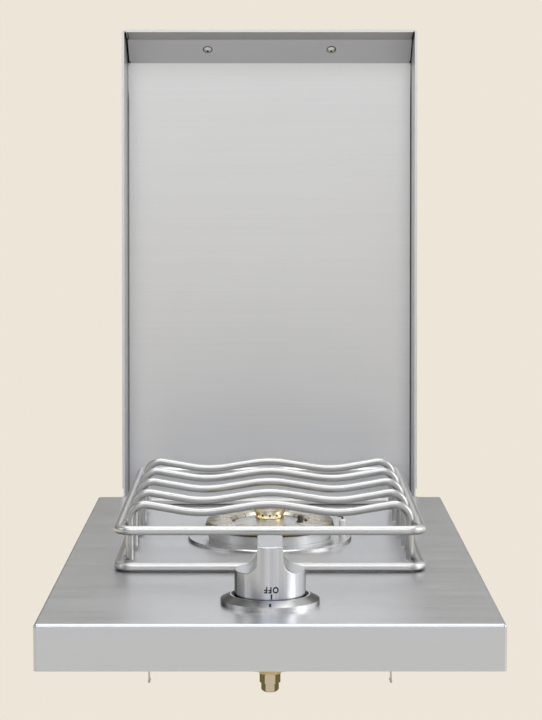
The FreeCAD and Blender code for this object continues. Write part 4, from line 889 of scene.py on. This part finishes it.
class BURNER_OT_grate(bpy.types.Operator):
    """Polished finish of the grate's rods, and the welds that hold them"""

    bl_idname = "burner.grate"
    bl_label = "Grate"

    def execute(self, context):
        finish = context.scene.burner_finish
        rods = [f"grate_rod_{i}" for i in range(1, 6)]
        rings = ("grate_lower_ring", "grate_upper_ring")
        give(polished_rod("grate_rod", tuple(finish.rod), finish.rod_roughness), *rods)
        # The rings take a lighter copy of the rods' colour: painted light
        rail = polished_rod("grate_rail", shaded(finish.rod, 1.14), finish.rod_roughness, 0.4)
        give(rail, *rings)
        weld = cast_metal("weld_bead", shaded(finish.rod, 0.7), 0.34)
        model = self.bead(context.scene.burner_detail.bead_radius)
        beads = []
        for ring in rings:
            low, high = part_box(ring)
            height = (low.z + high.z) / 2
            for name in rods:
                start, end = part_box(name)
                for leg in (start.x, end.x):
                    beads.append(copied(model, (leg, (start.y + end.y) / 2, height)))
        bpy.data.objects.remove(model)
        finish_piece(join_pieces(beads), "grate_weld_beads", "grate", weld)
        return {"FINISHED"}

    def bead(self, radius):
        """One weld along a ring's rail: a low drop with the ripples of the weld pool."""
        long = 1.7
        deselect_all()
        bpy.ops.mesh.primitive_uv_sphere_add(
            segments=12, ring_count=12, radius=radius, rotation=(math.radians(90), 0, 0)
        )
        bpy.ops.object.transform_apply()
        obj = bpy.context.active_object
        bpy.ops.object.mode_set(mode="EDIT")
        bpy.ops.transform.resize(value=(0.6, long, 0.95))
        for step in (-4, -2, 0, 2, 4):
            place = long * radius * math.sin(math.radians(15 * step))
            select_where(obj, lambda point, place=place: abs(point.y - place) < 0.0001)
            bpy.ops.transform.resize(value=(0.86, 1, 0.86), center_override=(0, place, 0))
        bpy.ops.object.mode_set(mode="OBJECT")
        bpy.ops.object.shade_smooth()
        return obj


class BURNER_OT_control(bpy.types.Operator):
    """Turned finish of the knob and bezel, the word OFF, the two lines and the return spring"""

    bl_idname = "burner.control"
    bl_label = "Control"

    def execute(self, context):
        finish = context.scene.burner_finish
        detail = context.scene.burner_detail
        axis = (KNOB_AXIS.x, KNOB_AXIS.y)
        # The knob and bezel take painted reflections and painted shade at their left and right, and the
        # knob's front a bluer tint offsetting its reflection
        knob = turned_metal(
            "knob_turned", tuple(finish.control), 0.24, axis, 0.75,
            painted_dark_ends=(0.1, 0.93, 0.975, 0.024), front=(0.95, 0.985, 1.09),
        )
        bezel = turned_metal(
            "bezel_turned", (0.76, 0.765, 0.77), 0.3, axis, 0.3, reflection_band_tones=(0.94, 1.02),
            cone_reflection=(0.2, 0.85, -66), painted_dark_ends=(0.08, 0.86, 0.95, 0.02),
        )
        give(knob, "knob")
        give(bezel, "knob_bezel")
        inner = plain_brass("stem_brass", (0.62, 0.5, 0.3), 0.3)
        give(inner, "knob_bush", "valve_stem", "valve_body", "gas_jet")
        steel = polished_rod("spring_wire", (0.5, 0.5, 0.5), 0.3)
        give(steel, "stem_clip", "thrust_washer")
        self.spring(steel)
        black = plain_coat("mark_black", (0.012, 0.012, 0.013), 0.4)
        finish_piece(self.word("OFF", detail), "knob_word", "control_knob", black)
        gap, reach = 0.0011, 0.0037
        under = detail.letter_rise - detail.letter_height / 2 - gap
        width, across, depth = detail.mark_width, detail.mark_offset, detail.mark_depth
        line = self.line(width, across, under - reach, under, "knob", depth)
        finish_piece(line, "knob_line", "control_knob", black)
        tick_low, tick_high = 0.0041, 0.0058
        tick = self.line(width * 1.5, 0, tick_low, tick_high, "knob_bezel", depth)
        finish_piece(tick, "bezel_line", "deck", black)
        return {"FINISHED"}

    def spring(self, steel):
        """The return spring: a wire coiled round the knob's axis."""
        low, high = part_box("return_spring")
        turns, steps = 3, 72
        reach = (high.x - low.x - SPRING_WIRE) / 2
        rise = high.z - low.z - SPRING_WIRE
        deselect_all()
        bpy.ops.mesh.primitive_circle_add(
            vertices=12, radius=SPRING_WIRE / 2, location=(reach, 0, low.z + SPRING_WIRE / 2),
            rotation=(math.radians(90), 0, 0),
        )
        bpy.ops.object.transform_apply()
        obj = bpy.context.active_object
        edit_all()
        for _ in range(steps):
            bpy.ops.mesh.extrude_edges_move()
            bpy.ops.transform.rotate(
                value=turns * math.tau / steps, orient_axis="Z", center_override=(0, 0, 0)
            )
            bpy.ops.transform.translate(value=(0, 0, rise / steps))
        bpy.ops.mesh.select_all(action="SELECT")
        bpy.ops.mesh.fill_holes(sides=0)
        bpy.ops.mesh.select_all(action="SELECT")
        bpy.ops.mesh.normals_make_consistent(inside=False)
        bpy.ops.object.mode_set(mode="OBJECT")
        bpy.ops.object.shade_smooth_by_angle(angle=math.radians(40))
        obj.location = (KNOB_AXIS.x, KNOB_AXIS.y, 0)
        finish_piece(obj, "control_spring", "deck", steel)
        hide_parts("return_spring")
        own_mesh(obj)

    def word(self, letters, detail):
        """Painted letters, upside down as they are when the control is off."""
        deselect_all()
        place = (KNOB_AXIS.x + detail.mark_offset, BEZEL_FRONT, DECK_TOP + detail.letter_rise)
        bpy.ops.object.text_add(location=place, rotation=(math.radians(90), math.radians(180), 0))
        text = bpy.context.active_object.data
        text.body = letters
        text.align_x = "CENTER"
        text.align_y = "CENTER"
        text.size = detail.letter_height / CAPITAL_SHARE
        text.offset = detail.letter_height * 0.06
        text.space_character = 1.22
        text.fill_mode = "FRONT"
        bpy.ops.object.convert(target="MESH")
        obj = bpy.context.active_object
        obj.scale = (detail.letter_width, 1, 1)
        bpy.ops.object.transform_apply()
        bpy.ops.object.mode_set(mode="EDIT")
        cut_across((1, 0, 0), [place[0] + step * 0.0008 for step in range(-8, 9)])
        bpy.ops.object.mode_set(mode="OBJECT")
        paint_on(obj, "knob", detail.mark_depth)
        return obj

    def line(self, width, across, low, high, surface, depth):
        """A short painted bar with rounded corners, on the front of the knob or the bezel."""
        middle, foot = KNOB_AXIS.x + across, DECK_TOP + low
        cuts = [foot + (high - low) * share for share in (0.25, 0.5, 0.75)]
        bar = upright_strip(
            middle - width / 2, middle + width / 2, foot, DECK_TOP + high, BEZEL_FRONT, cuts,
            corner=width * 0.2,
        )
        paint_on(bar, surface, depth)
        return bar


class BURNER_OT_burner_head(bpy.types.Operator):
    """Finishes of the flange, the bowl, the brass pieces, the electrodes and the gas inlet"""

    bl_idname = "burner.burner_head"
    bl_label = "Burner Head"

    def execute(self, context):
        finish = context.scene.burner_finish
        axis = (BURNER_AXIS.x, BURNER_AXIS.y)
        brass = tuple(finish.brass)
        # The flange's left and right extremes take painted shade
        flange = turned_metal(
            "flange_turned", shaded(finish.steel, 1.08), 0.26, axis, painted_dark_ends=(0.1, 0.88, 0.96, 0.055)
        )
        give(flange, "burner_flange")
        give(cast_metal("bowl_cast", shaded(finish.aluminium, 1.15), 0.42), "burner_bowl")
        give(turned_metal("disc_spun", tuple(finish.aluminium), 0.34, axis), "spreader_disc")
        ring = scorched_brass(
            "ring_brass", tuple(finish.pale_brass), brass, tuple(finish.scorch), axis,
            (CROWN_HIGH.x - CROWN_LOW.x) / 2, CROWN_HIGH.z - 0.006, CROWN_HIGH.z - 0.002,
        )
        give(ring, "flame_ring")
        cap_low, cap_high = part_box("centre_cap")
        foot = (cap_high.x - cap_low.x) / 2 - 0.0014
        give(ported_brass("cap_brass", brass, axis, foot), "centre_cap")
        give(plain_coat("igniter_glaze", (0.93, 0.93, 0.925), 0.18, 0.02), "igniter_ceramic")
        dark = cast_metal("electrode_steel", (0.12, 0.11, 0.1), 0.4)
        give(dark, "igniter_tip", "flame_sensor")
        nickel = flank_shaded_nickel("inlet_nickel", (0.66, 0.59, 0.46), (0.13, 0.115, 0.025))
        give(nickel, "inlet_fitting", "inlet_nut")
        give(plain_coat("module_black", (0.02, 0.02, 0.021), 0.5), "spark_module")
        give(plain_coat("lead_silicone", (0.42, 0.03, 0.02), 0.5), "igniter_lead")
        return {"FINISHED"}


class BURNER_OT_studio(bpy.types.Operator):
    """Camera, floor, background and soft lamps"""

    bl_idname = "burner.studio"
    bl_label = "Studio"

    def execute(self, context):
        studio = context.scene.burner_studio
        self.camera(context, studio)
        self.floor(studio)
        self.world(context, studio)
        for name, place, target, width, height in LAMPS:
            self.lamp(name, place, target, width, height, getattr(studio, name))
        context.scene.view_settings.view_transform = "Standard"
        return {"FINISHED"}

    def camera(self, context, studio):
        deselect_all()
        bpy.ops.object.camera_add(location=studio.camera_place)
        camera = bpy.context.active_object
        camera.name = "camera"
        camera.rotation_euler = (math.radians(90) - studio.camera_pitch, 0, -studio.camera_turn)
        camera.data.lens = studio.lens
        camera.data.sensor_width = 36
        camera.data.clip_end = 100
        context.scene.camera = camera

    def floor(self, studio):
        deselect_all()
        bpy.ops.mesh.primitive_plane_add(size=60, location=(0, 0, -studio.floor_drop))
        floor = bpy.context.active_object
        floor.name = "floor"
        material, tree, shader = new_finish("floor_paper", 0.0, 0.9, tuple(studio.backdrop))
        shader.inputs["Specular IOR Level"].default_value = 0.1
        glow = node(tree, "ShaderNodeEmission", Color=(*studio.backdrop, 1), Strength=1.0)
        flat = vector_math(tree, "MULTIPLY", object_coordinates(tree), (1, 1, 0))
        far = ramp(tree, vector_math(tree, "LENGTH", flat), 0.42, 0.62)
        path = tree.nodes.new("ShaderNodeLightPath").outputs
        seen = math_node(tree, "MAXIMUM", path["Is Camera Ray"], path["Is Glossy Ray"])
        seen = math_node(tree, "MAXIMUM", seen, path["Is Transmission Ray"])
        blend = tree.nodes.new("ShaderNodeMixShader")
        wire(tree, times(tree, far, seen), blend.inputs["Fac"])
        wire(tree, shader.outputs["BSDF"], blend.inputs[1])
        wire(tree, glow.outputs["Emission"], blend.inputs[2])
        wire(tree, blend.outputs["Shader"], tree.nodes["Material Output"].inputs["Surface"])
        floor.data.materials.append(material)

    def world(self, context, studio):
        world = bpy.data.worlds.new("studio")
        context.scene.world = world
        world.use_nodes = True
        tree = world.node_tree
        tree.nodes.clear()
        way = split(tree, tree.nodes.new("ShaderNodeTexCoord").outputs["Generated"])
        light = None
        for axis, sign, power, amount in (
            ("Z", 1, 1.5, studio.room_top), ("X", -1, 2.0, studio.room_left),
            ("X", 1, 2.0, studio.room_right),
        ):
            lean = math_node(tree, "MULTIPLY", way[axis], sign, clamp=True)
            lobe = times(tree, math_node(tree, "POWER", lean, power), amount)
            light = lobe if light is None else math_node(tree, "ADD", light, lobe)
        light = math_node(tree, "ADD", light, studio.room_even)
        room = node(tree, "ShaderNodeBackground", Color=(1, 1, 1, 1))
        wire(tree, light, room.inputs["Strength"])
        paper = node(tree, "ShaderNodeBackground", Color=(*studio.backdrop, 1), Strength=1.0)
        path = tree.nodes.new("ShaderNodeLightPath").outputs
        back = ramp(tree, way["Y"], 0.3, 0.7)
        low = times(tree, spread(tree, way["Z"], 1, 0, 0.12, 0.24), studio.paper_low)
        high = times(tree, ramp(tree, way["Z"], 0.14, 0.34), studio.paper_high)
        shown = times(tree, back, math_node(tree, "ADD", low, high))
        sheen = node(tree, "ShaderNodeBackground", Color=(*studio.backdrop, 1))
        wire(tree, times(tree, shown, path["Is Glossy Ray"]), sheen.inputs["Strength"])
        both = tree.nodes.new("ShaderNodeAddShader")
        wire(tree, room.outputs["Background"], both.inputs[0])
        wire(tree, sheen.outputs["Background"], both.inputs[1])
        seen = math_node(tree, "MAXIMUM", path["Is Camera Ray"], path["Is Transmission Ray"])
        blend = tree.nodes.new("ShaderNodeMixShader")
        wire(tree, seen, blend.inputs["Fac"])
        wire(tree, both.outputs["Shader"], blend.inputs[1])
        wire(tree, paper.outputs["Background"], blend.inputs[2])
        output = tree.nodes.new("ShaderNodeOutputWorld")
        wire(tree, blend.outputs["Shader"], output.inputs["Surface"])

    def lamp(self, name, place, target, width, height, power):
        deselect_all()
        bpy.ops.object.light_add(type="AREA", location=place)
        lamp = bpy.context.active_object
        lamp.name = name
        lamp.data.shape = "RECTANGLE"
        lamp.data.size = width
        lamp.data.size_y = height
        lamp.data.energy = power
        aim = Vector(target) - Vector(place)
        lamp.rotation_euler = aim.to_track_quat("-Z", "Y").to_euler()


OPERATORS = (
    BURNER_OT_sheet_metal,
    BURNER_OT_lid_trim,
    BURNER_OT_grate,
    BURNER_OT_control,
    BURNER_OT_burner_head,
    BURNER_OT_studio,
)


class BURNER_PT_panel(bpy.types.Panel):
    """Buttons for each group of pieces, and the sizes and colours"""

    bl_idname = "BURNER_PT_panel"
    bl_label = "Side Burner"
    bl_space_type = "VIEW_3D"
    bl_region_type = "UI"
    bl_category = "Side Burner"

    def draw(self, context):
        layout = self.layout
        for operator in OPERATORS:
            layout.operator(operator.bl_idname)
        for settings in ("burner_finish", "burner_detail", "burner_studio"):
            group = getattr(context.scene, settings)
            box = layout.box()
            for name in group.__annotations__:
                box.prop(group, name)


CLASSES = (FinishSettings, DetailSettings, StudioSettings, *OPERATORS, BURNER_PT_panel)


def register():
    for cls in CLASSES:
        bpy.utils.register_class(cls)
    bpy.types.Scene.burner_finish = PointerProperty(type=FinishSettings)
    bpy.types.Scene.burner_detail = PointerProperty(type=DetailSettings)
    bpy.types.Scene.burner_studio = PointerProperty(type=StudioSettings)


def unregister():
    del bpy.types.Scene.burner_finish
    del bpy.types.Scene.burner_detail
    del bpy.types.Scene.burner_studio
    for cls in reversed(CLASSES):
        bpy.utils.unregister_class(cls)


def main():
    register()
    bpy.ops.burner.sheet_metal()
    bpy.ops.burner.lid_trim()
    bpy.ops.burner.grate()
    bpy.ops.burner.control()
    bpy.ops.burner.burner_head()
    bpy.ops.burner.studio()


if __name__ == "__main__":
    main()
